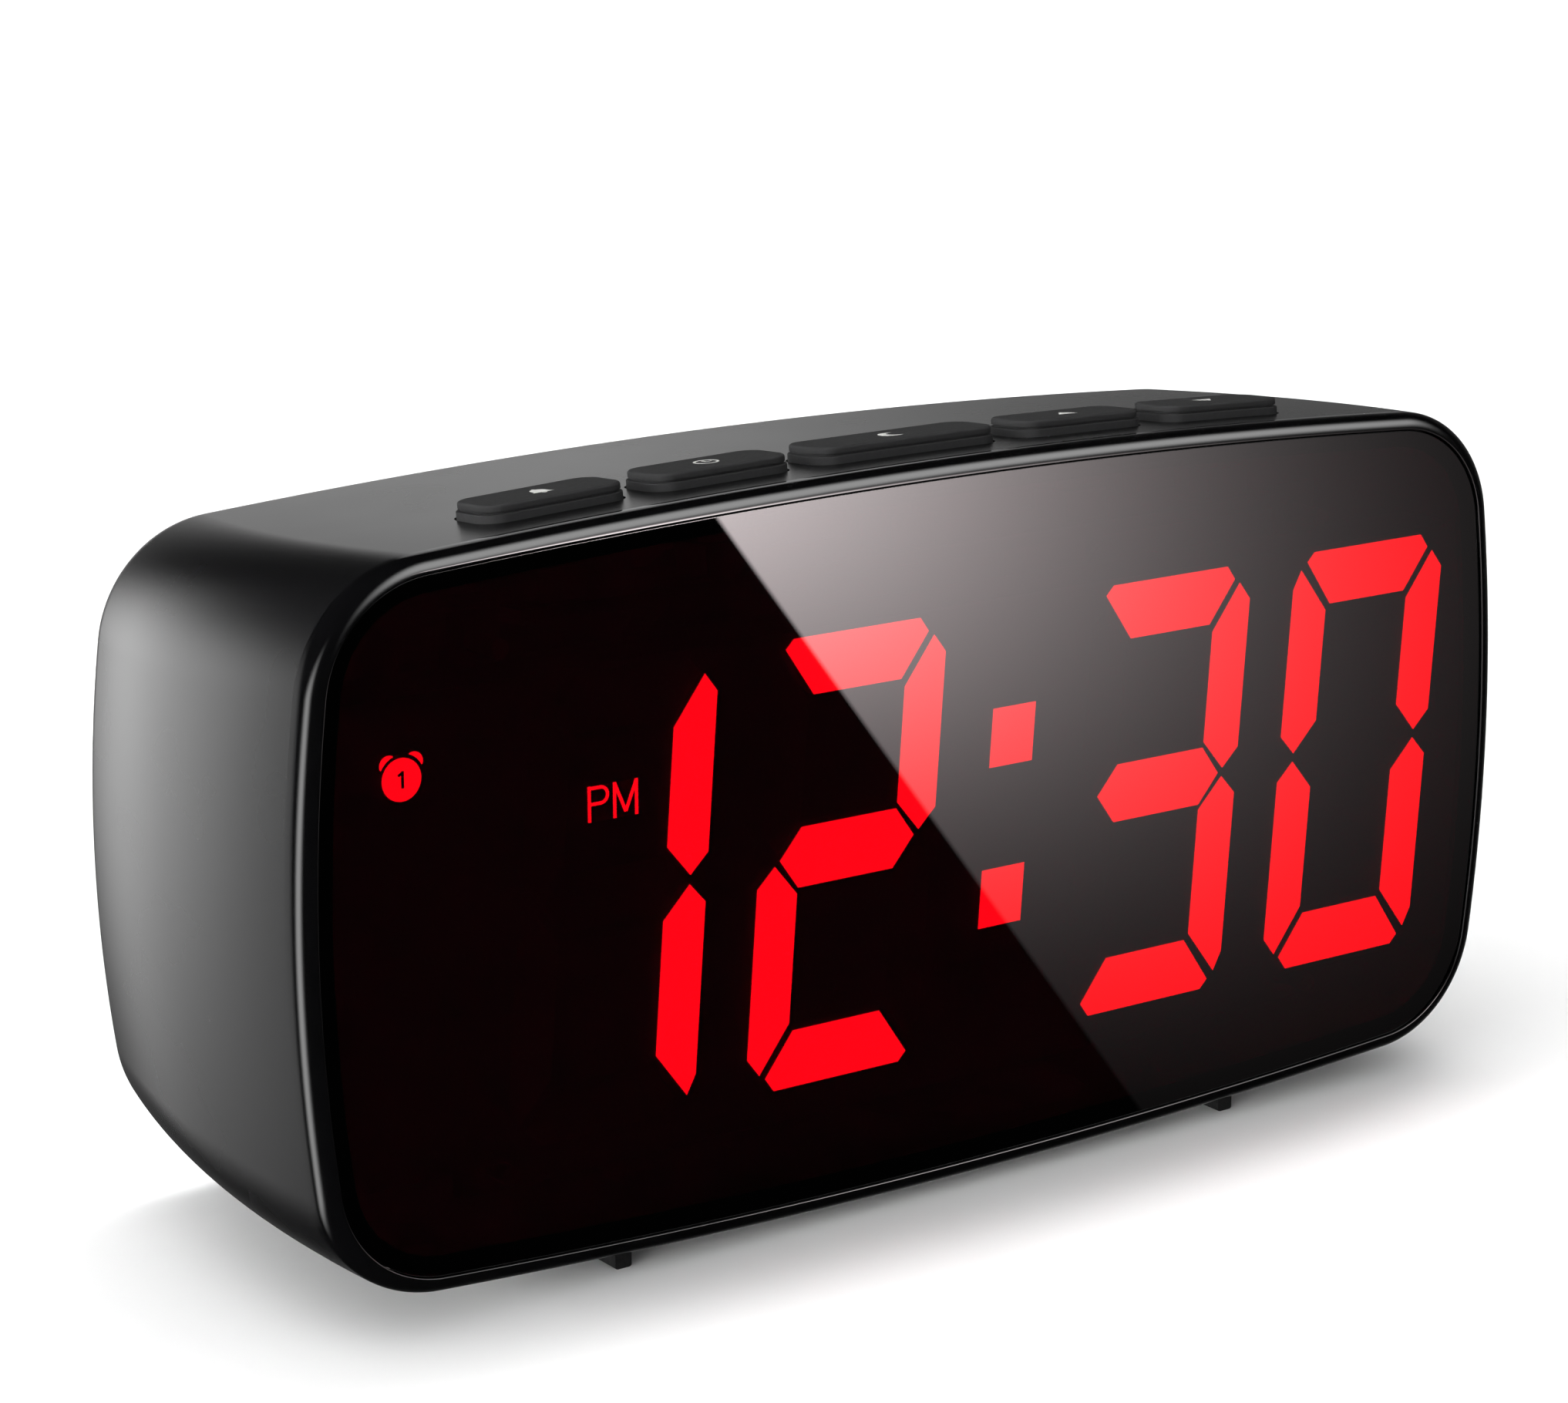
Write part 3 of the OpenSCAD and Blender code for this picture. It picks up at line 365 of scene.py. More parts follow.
def mesh_of(name: str, skin: Skin) -> Mesh:
    """Turn a skin into a smooth mesh in metres whose faces point outwards.

    Args:
        name: Name of the mesh.
        skin: Closed skin in millimetres.

    Returns:
        The mesh.
    """
    mesh = bpy.data.meshes.new(name)
    mesh.from_pydata((skin.points * MM).tolist(), [], skin.faces)
    work = bmesh.new()
    work.from_mesh(mesh)
    bmesh.ops.recalc_face_normals(work, faces=work.faces)
    work.to_mesh(mesh)
    work.free()
    return shaded(mesh)


def shaded(mesh: Mesh) -> Mesh:
    """Shade a mesh smooth, with sharp edges from the crease angle on.

    Args:
        mesh: Mesh to shade.

    Returns:
        The same mesh.
    """
    mesh.shade_smooth()
    mesh.set_sharp_from_angle(angle=math.radians(CREASE))
    return mesh


def piece(
    name: str, shape: Skin | Mesh, finish: Finish, body: str, stands_for: Sequence[str] = ()
) -> None:
    """Add a piece of the clock to the scene.

    Args:
        name: Name of the piece.
        shape: Its skin, or its finished mesh, in place.
        finish: What it is made of.
        body: Body that it moves with.
        stands_for: Solids that it replaces.
    """
    mesh = mesh_of(name, shape) if isinstance(shape, Skin) else shape
    mesh.materials.append(finish.material())
    made = bpy.data.objects.new(name, mesh)
    bpy.context.scene.collection.objects.link(made)
    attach(made, body)
    if stands_for:
        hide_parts(*stands_for)
    LOG.info("%s: %d faces, rides on %s", name, len(mesh.polygons), body)


def cut(name: str, skin: Skin, tools: Skin) -> Mesh:
    """Take the tools' volume away from a skin.

    Args:
        name: Name of the mesh that comes out.
        skin: Closed skin.
        tools: Closed skins that don't touch one another.

    Returns:
        A new mesh.
    """
    body = bpy.data.objects.new("cut_body", mesh_of(name, skin))
    tool = bpy.data.objects.new("cut_tool", mesh_of("cut_tool", tools))
    for o in (body, tool):
        bpy.context.scene.collection.objects.link(o)
    step = body.modifiers.new("cut", "BOOLEAN")
    step.operation = "DIFFERENCE"
    step.solver = "EXACT"
    step.object = tool
    ready = body.evaluated_get(bpy.context.evaluated_depsgraph_get())
    made = bpy.data.meshes.new_from_object(ready)
    for o in (body, tool):
        bpy.data.objects.remove(o)
    return shaded(made)


@dataclass(frozen=True)
class CaseForm:
    """The bowed outline of the case and how it changes from the front to the back.

    An outline is made of arcs that touch: a flat arc along each side, one along top and bottom, and a round
    one at each corner. Half the width is width / 2 - side_taper k + 4 side_belly k (1 - k), and half the
    height is height / 2 - top_taper k, where k is the share of the depth.
    """

    width: float = 165.0
    height: float = 83.5
    depth: float = 54.5
    side_bow: float = 4.3
    top_bow: float = 3.3
    front_corner: float = 15.0
    back_corner: float = 14.5
    side_taper: float = 2.5
    side_belly: float = 3.385
    top_taper: float = 4.3
    back_round: float = 6.5
    middle: float = 43.05

    @property
    def front(self) -> float:
        """Y of the rim's front."""
        return -self.depth / 2

    @property
    def back(self) -> float:
        """Y of the back face."""
        return self.depth / 2

    def share(self, y: Array | float) -> Array | float:
        """Share of the depth, 0 at the front and 1 at the back."""
        return (y - self.front) / self.depth

    def half_width(self, y: Array | float) -> Array | float:
        """Half the width at a depth."""
        k = self.share(y)
        return self.width / 2 - self.side_taper * k + 4 * self.side_belly * k * (1 - k)

    def half_height(self, y: Array | float) -> Array | float:
        """Half the height at a depth."""
        return self.height / 2 - self.top_taper * self.share(y)

    def arcs(self, y: Array) -> tuple[Array, ...]:
        """Arcs of a quarter of the outline.

        The corner's centre lies as far from the side's centre as side radius - corner radius, and as far from
        the top's centre as top radius - corner radius, so the arcs touch.

        Args:
            y: Depths, as (n).

        Returns:
            Side radius, top radius, corner radius, X of the side's centre, Z of the top's centre, X and Z of
            the corner's centre, and the angles where the corner begins and ends, each as (n).
        """
        a, b = self.half_width(y), self.half_height(y)
        r = self.front_corner + (self.back_corner - self.front_corner) * self.share(y)
        rs = (b * b + self.side_bow**2) / (2 * self.side_bow)
        rt = (a * a + self.top_bow**2) / (2 * self.top_bow)
        ax, bz = a - rs, b - rt
        p, q = rs - r, rt - r
        d = np.hypot(ax, bz)
        ex, ez = -ax / d, bz / d
        u = (p * p - q * q + d * d) / (2 * d)
        h = np.sqrt(p * p - u * u)
        cx, cz = ax + u * ex - h * ez, u * ez + h * ex
        return rs, rt, r, ax, bz, cx, cz, np.arctan2(cz, cx - ax), np.arctan2(cz - bz, cx)

    def rings(self, y: Array, inset: Array, steps: tuple[int, int, int] = (16, 28, 24)) -> Array:
        """Outlines at several depths, each drawn in by its own inset.

        Args:
            y: Depths, as (m).
            inset: Distances that the outlines are drawn in, as (m).
            steps: Points along the half side, the corner and the half top.

        Returns:
            Points as (m, n, 3).
        """
        y, inset = np.atleast_1d(np.asarray(y, float)), np.atleast_1d(np.asarray(inset, float))
        rs, rt, r, ax, bz, cx, cz, t1, t2 = (v[:, None] for v in self.arcs(y))
        d = inset[:, None]
        s1 = np.linspace(0, 1, steps[0], endpoint=False) * t1
        s2 = t1 + np.linspace(0, 1, steps[1], endpoint=False) * (t2 - t1)
        s3 = t2 + np.linspace(0, 1, steps[2] + 1) * (np.pi / 2 - t2)
        x = np.concatenate(
            [ax + (rs - d) * np.cos(s1), cx + (r - d) * np.cos(s2), (rt - d) * np.cos(s3)], axis=1
        )
        z = np.concatenate(
            [(rs - d) * np.sin(s1), cz + (r - d) * np.sin(s2), bz + (rt - d) * np.sin(s3)], axis=1
        )
        go, come = slice(0, -1), slice(None, 0, -1)
        x = np.concatenate([x[:, go], -x[:, come], -x[:, go], x[:, come]], axis=1)
        z = np.concatenate([z[:, go], z[:, come], -z[:, go], -z[:, come]], axis=1)
        return np.stack([x, np.broadcast_to(y[:, None], x.shape), z + self.middle], -1)

    def top_radius(self, y: Array | float) -> Array | float:
        """Radius of the top's bow."""
        return (self.half_width(y) ** 2 + self.top_bow**2) / (2 * self.top_bow)

    def top_height(self, x: float, y: Array | float) -> Array | float:
        """Height of the top face over the ground: that of its bow's centre + sqrt(r^2 - x^2)."""
        r = self.top_radius(y)
        return self.middle + self.half_height(y) - r + np.sqrt(r**2 - x**2)

    def rounding(self, y: Array) -> Array:
        """Inset of the rounded back edge: R - sqrt(R^2 - s^2), with s the way into the round."""
        s = np.clip(y - (self.back - self.back_round), 0, self.back_round)
        return self.back_round - np.sqrt(self.back_round**2 - s * s)

    def outside(self, p: Array) -> tuple[Array, Array]:
        """Distance of points from the outline at their own depth, and its slope over X and Z.

        Args:
            p: Points as (n, 3).

        Returns:
            Signed distances as (n), and unit directions away from the arcs' centres as (n, 2).
        """
        x, z = np.abs(p[:, 0]), np.abs(p[:, 2] - self.middle)
        rs, rt, r, ax, bz, cx, cz, t1, t2 = self.arcs(p[:, 1])
        on_side = np.arctan2(z, x - ax) < t1
        on_top = np.arctan2(z - bz, x) > t2
        ux = np.where(on_side, x - ax, np.where(on_top, x, x - cx))
        uz = np.where(on_side, z, np.where(on_top, z - bz, z - cz))
        far = np.hypot(ux, uz)
        gap = far - np.where(on_side, rs, np.where(on_top, rt, r)) + self.rounding(p[:, 1])
        signs = np.column_stack([np.sign(p[:, 0]), np.sign(p[:, 2] - self.middle)])
        return gap, np.column_stack([ux, uz]) / far[:, None] * signs

    def normals(self, p: Array) -> tuple[Array, Array]:
        """True normals of the outer face, from the slope of the distance along X, Y and Z.

        Args:
            p: Points as (n, 3).

        Returns:
            Unit normals as (n, 3), and distances from the outer face as (n).
        """
        step = 0.004
        gap, flat = self.outside(p)
        slope = (self.outside(p + [0, step, 0])[0] - self.outside(p - [0, step, 0])[0]) / (2 * step)
        n = np.column_stack([flat[:, 0], slope, flat[:, 1]])
        return n / np.linalg.norm(n, axis=1, keepdims=True), gap


@dataclass(frozen=True)
class KeySpot:
    """A key's place on the top face."""

    name: str
    x: float
    width: float


@dataclass(frozen=True)
class KeyForm:
    """Sizes that all keys share, with heights over the top face."""

    depth: float = 8.4
    centre_depth: float = 12.3
    corner: float = 2.6
    proud: float = 1.8
    skirt: float = 0.8
    groove: float = 0.2
    groove_in: float = 0.5
    cap_in: float = 0.2
    flange: float = 1.0
    flange_top: float = -2.5
    flange_low: float = -3.7
    stem_end: float = 78.04
    stem_r: float = 1.6
    play: float = 0.25
    edge: float = 0.32
    soft_edge: float = 0.1
    top_in: float = 0.06
    cut_low: float = -4.0
    cut_top: float = 1.0
    ink: float = 0.012
    ink_root: float = 0.05


@dataclass
class KeyRow:
    """The five keys in the top face, each with its print."""

    case: CaseForm
    form: KeyForm = field(default_factory=KeyForm)
    narrow: float = 17.8
    wide: float = 24.8
    gap: float = 3.4

    def spots(self) -> list[KeySpot]:
        """Place the keys from left to right, with the wide one in the middle.

        Returns:
            One place per key.
        """
        near = self.wide / 2 + self.gap + self.narrow / 2
        far = near + self.narrow + self.gap
        return [
            KeySpot("alarm", -far, self.narrow),
            KeySpot("set", -near, self.narrow),
            KeySpot("snooze", 0.0, self.wide),
            KeySpot("up", near, self.narrow),
            KeySpot("down", far, self.narrow),
        ]

    def place(self, spot: KeySpot) -> tuple[Array, Array]:
        """Turn and origin of a key's own frame, whose Z leaves the top face.

        Args:
            spot: The key.

        Returns:
            A 3 x 3 matrix and a point.
        """
        y = self.case.front + self.form.centre_depth
        lean = math.degrees(math.atan(self.case.top_taper / self.case.depth))
        side = math.degrees(math.asin(spot.x / self.case.top_radius(y)))
        return turn_x(-lean) @ turn_y(side), np.array([spot.x, y, self.case.top_height(spot.x, y)])

    def outline(self, width: float, inset: Array | float, steps: int = 9) -> Array:
        """Rounded rectangles with one corner arc each, drawn in by insets.

        Args:
            width: Width of the key.
            inset: Distances to draw in, as (m).
            steps: Points on each corner.

        Returns:
            Points as (m, n, 2).
        """
        f = self.form
        t = np.radians(np.concatenate([np.linspace(q, q + 90, steps) for q in (0, 90, 180, 270)]))
        way = np.column_stack([np.cos(t), np.sin(t)])
        sign = np.repeat([[1, 1], [-1, 1], [-1, -1], [1, -1]], steps, axis=0)
        centre = sign * [width / 2 - f.corner, f.depth / 2 - f.corner]
        return centre + way * (f.corner - np.atleast_1d(inset))[:, None, None]

    def profile(self) -> Array:
        """Section of a key from the flange up to the top, with rounded edges on both tiers.

        Returns:
            Rows of inset and height, as (n, 2).
        """
        f = self.form
        low, soft = f.skirt + f.groove, f.soft_edge
        return np.concatenate(
            [
                [[-f.flange, f.flange_low], [-f.flange, f.flange_top], [0.0, f.flange_top]],
                arc((soft, f.skirt - soft), soft, 180, 90, 4),
                [[f.groove_in, f.skirt], [f.groove_in, low]],
                arc((f.cap_in + soft, low + soft), soft, 270, 180, 4),
                arc((f.cap_in + f.edge, f.proud - f.edge), f.edge, 180, 90, 7),
                [[f.cap_in + f.edge + f.top_in, f.proud]],
            ]
        )

    def cap_skin(self, spot: KeySpot) -> Skin:
        """A key in its own frame: the profile carried round the outline, and a stem under it.

        Args:
            spot: The key.

        Returns:
            A closed skin.
        """
        f = self.form
        rows = self.profile()
        flat = self.outline(spot.width, rows[:, 0])
        high = np.broadcast_to(rows[:, 1][:, None, None], flat.shape[:2] + (1,))
        turn, origin = self.place(spot)
        low = (f.stem_end - origin[2]) / turn[2, 2]
        stem = lathe([(f.stem_r, low), (f.stem_r, f.flange_low)], 32)
        return joined([loft(np.concatenate([flat, high], -1)), stem])

    def openings(self) -> list[Skin]:
        """Tools that cut the keys' openings out of the case.

        Returns:
            One prism per key, in place.
        """
        f = self.form
        made = []
        for spot in self.spots():
            tool = prism(self.outline(spot.width, -f.play)[0], f.cut_low, f.cut_top)
            made.append(tool.placed(*self.place(spot)))
        return made

    def print_outlines(self, spot: KeySpot) -> list[Array]:
        """Outlines of the sign printed on a key, about its middle: bell, dial, moon and arrow heads.

        Args:
            spot: The key.

        Returns:
            Closed outlines as (n, 2).
        """
        if spot.name == "alarm":
            brim = [[0.95, -0.6], [1.3, -0.95], [-1.3, -0.95], [-0.95, -0.6]]
            dome = np.concatenate([arc((0, 0.25), 0.85, 180, 0, 16), brim])
            return [dome, arc((0, -1.1), 0.34, 180, 360, 9), arc((0, 1.2), 0.2, 0, 330, 12)]
        if spot.name == "set":
            ring = [stroke(arc((0, 0), 1.3, a, a + 90.5, 12), 0.28) for a in (0, 90, 180, 270)]
            return ring + [stroke([(0, -0.1), (0, 0.85)], 0.24), stroke([(-0.1, 0), (0.7, 0)], 0.24)]
        if spot.name == "snooze":
            return [np.concatenate([arc((0, 0), 1.45, 51, 309, 30), arc((0.75, 0), 1.13, 278, 82, 24)])]
        way = 1 if spot.name == "up" else -1
        return [np.array([[-1.35, -0.75 * way], [1.35, -0.75 * way], [0.0, 1.05 * way]])]

    def build(self) -> None:
        """Make the keys and their prints."""
        f = self.form
        for spot in self.spots():
            turn, origin = self.place(spot)
            body = f"{spot.name}_button"
            cap = self.cap_skin(spot).placed(turn, origin)
            piece(f"{spot.name}_cap", cap, KEY_ABS, body, [f"{spot.name}_key"])
            ink = [prism(o, f.proud - f.ink_root, f.proud + f.ink) for o in self.print_outlines(spot)]
            piece(f"{spot.name}_print", joined(ink).placed(turn, origin), PAD_INK, body)


@dataclass
class BackFittings:
    """Screw wells, sound holes, power inlet and cell cap in the back wall.

    Depths count from the back face into the case.
    """

    case: CaseForm
    play: float = 0.3
    sunk: float = 0.2
    cut_start: float = -1.0
    cut_end: float = 4.0
    well_r: float = 2.3
    well_cut: float = 9.0
    well_depth: float = 40.9
    well_x: float = 56.5
    well_z: Spot = (27.75, -29.75)
    tube_start: float = 2.0
    tube_wall: float = 0.5
    tube_floor: float = 1.0
    screw_r: float = 0.9
    sounder: Spot = (0.0, 6.0)
    sound_r: float = 0.9
    sound_step: float = 4.0
    sound_rings: int = 2
    jack: Spot = (-46.0, -14.0)
    jack_r: float = 3.9
    jack_end: float = 14.0
    flange_r: float = 5.3
    flange_end: float = 1.2
    chamfer: float = 0.3
    socket_r: float = 1.8
    socket_end: float = 9.5
    pin_r: float = 0.65
    pin_tip_r: float = 0.4
    pin_end: float = 9.6
    tab: Spot = (1.0, 0.4)
    tab_rise: float = 1.95
    tab_start: float = 13.9
    tab_end: float = 17.0
    cap: Spot = (44.0, -5.0)
    cap_r: float = 12.5
    cap_flat_r: float = 11.8
    cap_edge: float = 0.5
    cap_end: float = 1.8
    cap_inner: float = 1.9
    cap_seat: float = 2.1
    coin_slot: Spot = (7.2, 0.9)
    coin_slot_end: float = 1.1
    neck_r: float = 10.1
    neck_wall: float = 1.5
    neck_end: float = 4.5
    lug_r: float = 11.4
    lug_root: float = 0.6
    lug_start: float = 3.3
    lug_sweep: float = 30.0
    cup_start: float = 2.15
    cup_groove: Spot = (3.0, 4.8)
    cup_groove_in: float = 1.6
    cup_floor: float = 9.1
    cup_end: float = 10.3
    contact_r: float = 0.5

    def at(self, spot: Spot, skin: Skin) -> Skin:
        """Put a skin on the back face, its Z pointing into the case."""
        return skin.placed(UPRIGHT, [spot[0], self.case.back, self.case.middle + spot[1]])

    def well_spots(self) -> list[Spot]:
        """Places of the four screw wells."""
        return [(x, z) for z in self.well_z for x in (-self.well_x, self.well_x)]

    def tools(self) -> list[Skin]:
        """Round tools that cut the wells, the sound holes and the stepped seats of inlet and cap.

        The sound holes stand on rings of 6 and 12 round one in the middle.

        Returns:
            Closed skins, in place.
        """
        start, end = self.cut_start, self.cut_end
        well = lathe([(self.well_r, start), (self.well_r, self.well_cut)], 40)
        made = [self.at(spot, well) for spot in self.well_spots()]
        hole = lathe([(self.sound_r, start), (self.sound_r, end)], 24)
        made.append(self.at(self.sounder, hole))
        for n in range(1, self.sound_rings + 1):
            ring = arc(self.sounder, n * self.sound_step, 0, 360 - 60 / n, 6 * n)
            made += [self.at(spot, hole) for spot in ring]
        for spot, wide, step, narrow, sides in (
            (self.jack, self.flange_r, self.flange_end, self.jack_r, 56),
            (self.cap, self.cap_r, self.cap_seat, self.neck_r, 96),
        ):
            a, b = wide + self.play, narrow + self.play
            made.append(self.at(spot, lathe([(a, start), (a, step), (b, step), (b, end)], sides)))
        return made

    def liners(self) -> list[Skin]:
        """Walls that the wells and the cell's pocket have behind the back wall.

        Returns:
            Closed skins, in place.
        """
        r, out, end = self.well_r, self.well_r + self.tube_wall, self.well_depth
        floor = end + self.tube_floor
        tube = [(self.screw_r, floor), (out, floor), (out, self.tube_start)]
        tube += [(r, self.tube_start), (r, end), (self.screw_r, end)]
        made = [self.at(spot, lathe(tube, 40, closed=True)) for spot in self.well_spots()]
        r, wide, (low, high) = self.neck_r + self.play, self.neck_r + self.cup_groove_in, self.cup_groove
        cup = [(self.contact_r, self.cup_end), (self.cap_r, self.cup_end), (self.cap_r, self.cup_start)]
        cup += [(r, self.cup_start), (r, low), (wide, low), (wide, high), (r, high)]
        cup += [(r, self.cup_floor), (self.contact_r, self.cup_floor)]
        made.append(self.at(self.cap, lathe(cup, 64, closed=True)))
        return made

    def cap_mesh(self) -> Mesh:
        """The cell cap: a disc with a rounded edge, a hollow neck and a slot for a coin.

        Returns:
            The mesh, in place.
        """
        r, e, neck = self.cap_r, self.cap_edge, self.neck_r
        profile = np.concatenate(
            [
                [[self.cap_flat_r, self.sunk]],
                arc((r - e, self.sunk + e), e, 270, 360, 6),
                [[r, self.cap_end], [neck, self.cap_end], [neck, self.neck_end]],
                [[neck - self.neck_wall, self.neck_end], [neck - self.neck_wall, self.cap_inner]],
            ]
        )
        x, half = self.coin_slot
        slot = np.concatenate([arc((x, 0), half, -90, 90, 9), arc((-x, 0), half, 90, 270, 9)])
        tool = prism(slot, self.cut_start, self.coin_slot_end)
        return cut("cell_cap", self.at(self.cap, lathe(profile, 96)), self.at(self.cap, tool))

    def lugs(self) -> Skin:
        """Two lugs on the cap's neck, each a four-sided section carried along an arc about the cap's axis.

        Returns:
            Closed skins, in place.
        """
        root = self.neck_r - self.lug_root
        r = np.array([root, self.lug_r, self.lug_r, root])
        h = np.array([self.lug_start, self.lug_start, self.neck_end, self.neck_end])
        made = []
        for start in (0, 180):
            t = np.radians(np.linspace(start, start + self.lug_sweep, 9))[:, None]
            made.append(loft(np.stack([r * np.cos(t), r * np.sin(t), h + 0 * t], -1)))
        return self.at(self.cap, joined(made))

    def inlet(self) -> Skin:
        """The power inlet: a turned body with its socket and its flange, and two solder tabs.

        Returns:
            Closed skins, in place.
        """
        face, c = self.sunk, self.chamfer
        body = [(self.socket_r, self.socket_end), (self.socket_r, face + c), (self.socket_r + c, face)]
        body += [(self.flange_r - c, face), (self.flange_r, face + c), (self.flange_r, self.flange_end)]
        body += [(self.jack_r, self.flange_end), (self.jack_r, self.jack_end)]
        foot = SQUARE * self.tab
        tabs = [prism(foot + [0, z], self.tab_start, self.tab_end) for z in (-self.tab_rise, self.tab_rise)]
        return self.at(self.jack, joined([lathe(body, 64)] + tabs))

    def build(self) -> None:
        """Make the cell cap and the inlet."""
        piece("cell_cap", self.cap_mesh(), CASE_ABS, "battery_cover", ["battery_cap"])
        piece("cell_cap_lugs", self.lugs(), CASE_ABS, "battery_cover")
        piece("power_inlet", self.inlet(), JACK_PBT, "case", ["dc_jack"])
        tip, r = self.flange_end, self.pin_r
        pin = lathe([(self.pin_tip_r, tip), (r, tip + self.chamfer), (r, self.pin_end)], 32)
        piece("inlet_pin", self.at(self.jack, pin), BRIGHT_STEEL, "case")


@dataclass
class Skids:
    """The two rubber skids under the case, and the grooves that hold them."""

    case: CaseForm
    x: float = 43.0
    width: float = 2.1
    start: float = 2.8
    stop: float = 8.5
    seat: float = 1.0
    play: float = 0.05
    edge: float = 0.3
    end_edge: float = 0.1
    cut_low: float = -1.0

    def ends(self) -> Array:
        """Depths where a skid starts and ends."""
        return np.array([self.case.front + self.start, self.case.back - self.stop])

    def roof(self, y: Array) -> Array:
        """Heights of a skid's upper face at depths y, a little above the case's bottom."""
        return 2 * self.case.middle - self.case.top_height(self.x, y) + self.seat

    def slots(self) -> list[Skin]:
        """Tools that cut the grooves out of the case.

        Returns:
            One four-sided bar per skid, in place.
        """
        w, y = self.width / 2 + self.play, self.ends()
        top, low = self.roof(y) + self.play, self.cut_low
        made = []
        for x in (-self.x, self.x):
            rows = [[(x - w, a, low), (x + w, a, low), (x + w, a, h), (x - w, a, h)] for a, h in zip(y, top)]
            made.append(loft(np.array(rows)))
        return made

    def skin(self, x: float) -> Skin:
        """A section with rounded lower edges, carried along the depth under the rising bottom.

        Args:
            x: Place of the skid.

        Returns:
            A closed skin.
        """
        w, e, ends, end = self.width / 2, self.edge, self.ends(), self.end_edge
        y = np.concatenate([[ends[0], ends[0] + end], np.linspace(*ends, 12)[1:-1], [ends[1] - end, ends[1]]])
        foot = np.concatenate([arc((-w + e, e), e, 180, 270, 5), arc((w - e, e), e, 270, 360, 5)])
        rows = np.zeros((len(y), len(foot) + 2, 3))
        rows[:, :-2, 0], rows[:, :-2, 2] = foot[:, 0], foot[:, 1]
        rows[:, -2:, 0] = [w, -w]
        rows[:, -2:, 2] = self.roof(y)[:, None]
        rows[..., 0] += x
        rows[..., 1] = y[:, None]
        return loft(rows)

    def build(self) -> None:
        """Make both skids."""
        for name, x in (("left_skid", -self.x), ("right_skid", self.x)):
            piece(f"{name}_strip", self.skin(x), SKID_RUBBER, "case", [name])


@dataclass
class CaseShell:
    """The case behind the rim: a bowed shell with openings for keys, fittings and skids."""

    case: CaseForm
    keys: KeyRow
    fittings: BackFittings
    skids: Skids
    start: float = 2.5
    wall: float = 2.2
    outer_rings: int = 30
    inner_rings: int = 10

    def skin(self) -> Skin:
        """Rings from the inner back, forward along the inside, and back along the outside to the outer back.

        On an edge rounded with radius R, the ring at the angle t lies R (1 - sin t) before the back and is
        drawn in by R (1 - cos t).

        Returns:
            A closed skin.
        """
        c, r, m, n = self.case, self.case.back_round, self.outer_rings, self.inner_rings
        y0, y1 = c.front + self.start, c.back - r
        t = np.radians(np.linspace(0, 90, 19)[1:])
        out_y = np.concatenate([np.linspace(y0, y1, m), c.back - r * (1 - np.sin(t))])
        out_in = np.concatenate([np.zeros(m), r * (1 - np.cos(t))])
        r -= self.wall
        t = np.radians(np.linspace(90, 0, 8)[:-1])
        in_y = np.concatenate([c.back - self.wall - r * (1 - np.sin(t)), np.linspace(y1, y0, n)])
        in_in = np.concatenate([self.wall + r * (1 - np.cos(t)), np.full(n, self.wall)])
        return loft(c.rings(np.concatenate([in_y, out_y]), np.concatenate([in_in, out_in])))

    def smooth(self, mesh: Mesh) -> None:
        """Give the outer face its true normals, so that cuts don't disturb its shine.

        A face corner takes the normal of the form where it lies on the outer face and its face looks the same
        way. The flat back looks along Y.

        Args:
            mesh: The cut shell.
        """
        c = self.case
        points = np.empty(len(mesh.vertices) * 3)
        mesh.vertices.foreach_get("co", points)
        points = points.reshape(-1, 3) / MM
        corner = np.empty(len(mesh.loops), int)
        mesh.loops.foreach_get("vertex_index", corner)
        count = np.empty(len(mesh.polygons), int)
        mesh.polygons.foreach_get("loop_total", count)
        looks = np.empty(len(mesh.polygons) * 3)
        mesh.polygons.foreach_get("normal", looks)
        looks = np.repeat(looks.reshape(-1, 3), count, axis=0)
        short_of_back = 0.02
        inner = points.copy()
        inner[:, 1] = np.clip(inner[:, 1], c.front, c.back - short_of_back)
        true, gap = c.normals(inner)
        true, gap, y = true[corner], gap[corner], points[corner, 1]
        on_form, on_back, same_way, square_on = 0.05, 0.03, 0.75, 0.9
        use = (np.abs(gap) < on_form) & (np.sum(true * looks, axis=1) > same_way)
        flat = (y > c.back - on_back) & (looks[:, 1] > square_on)
        normal = np.where(use[:, None], true, 0.0)
        normal[flat] = [0.0, 1.0, 0.0]
        mesh.normals_split_custom_set(normal.tolist())

    def build(self) -> None:
        """Make the shell, cut it and dress it."""
        tools = joined(self.keys.openings() + self.fittings.tools() + self.skids.slots())
        mesh = cut("case_shell", self.skin(), tools)
        self.smooth(mesh)
        piece("case_shell", mesh, CASE_ABS, "case", ["housing"])
        piece("case_wells", joined(self.fittings.liners()), CASE_ABS, "case")


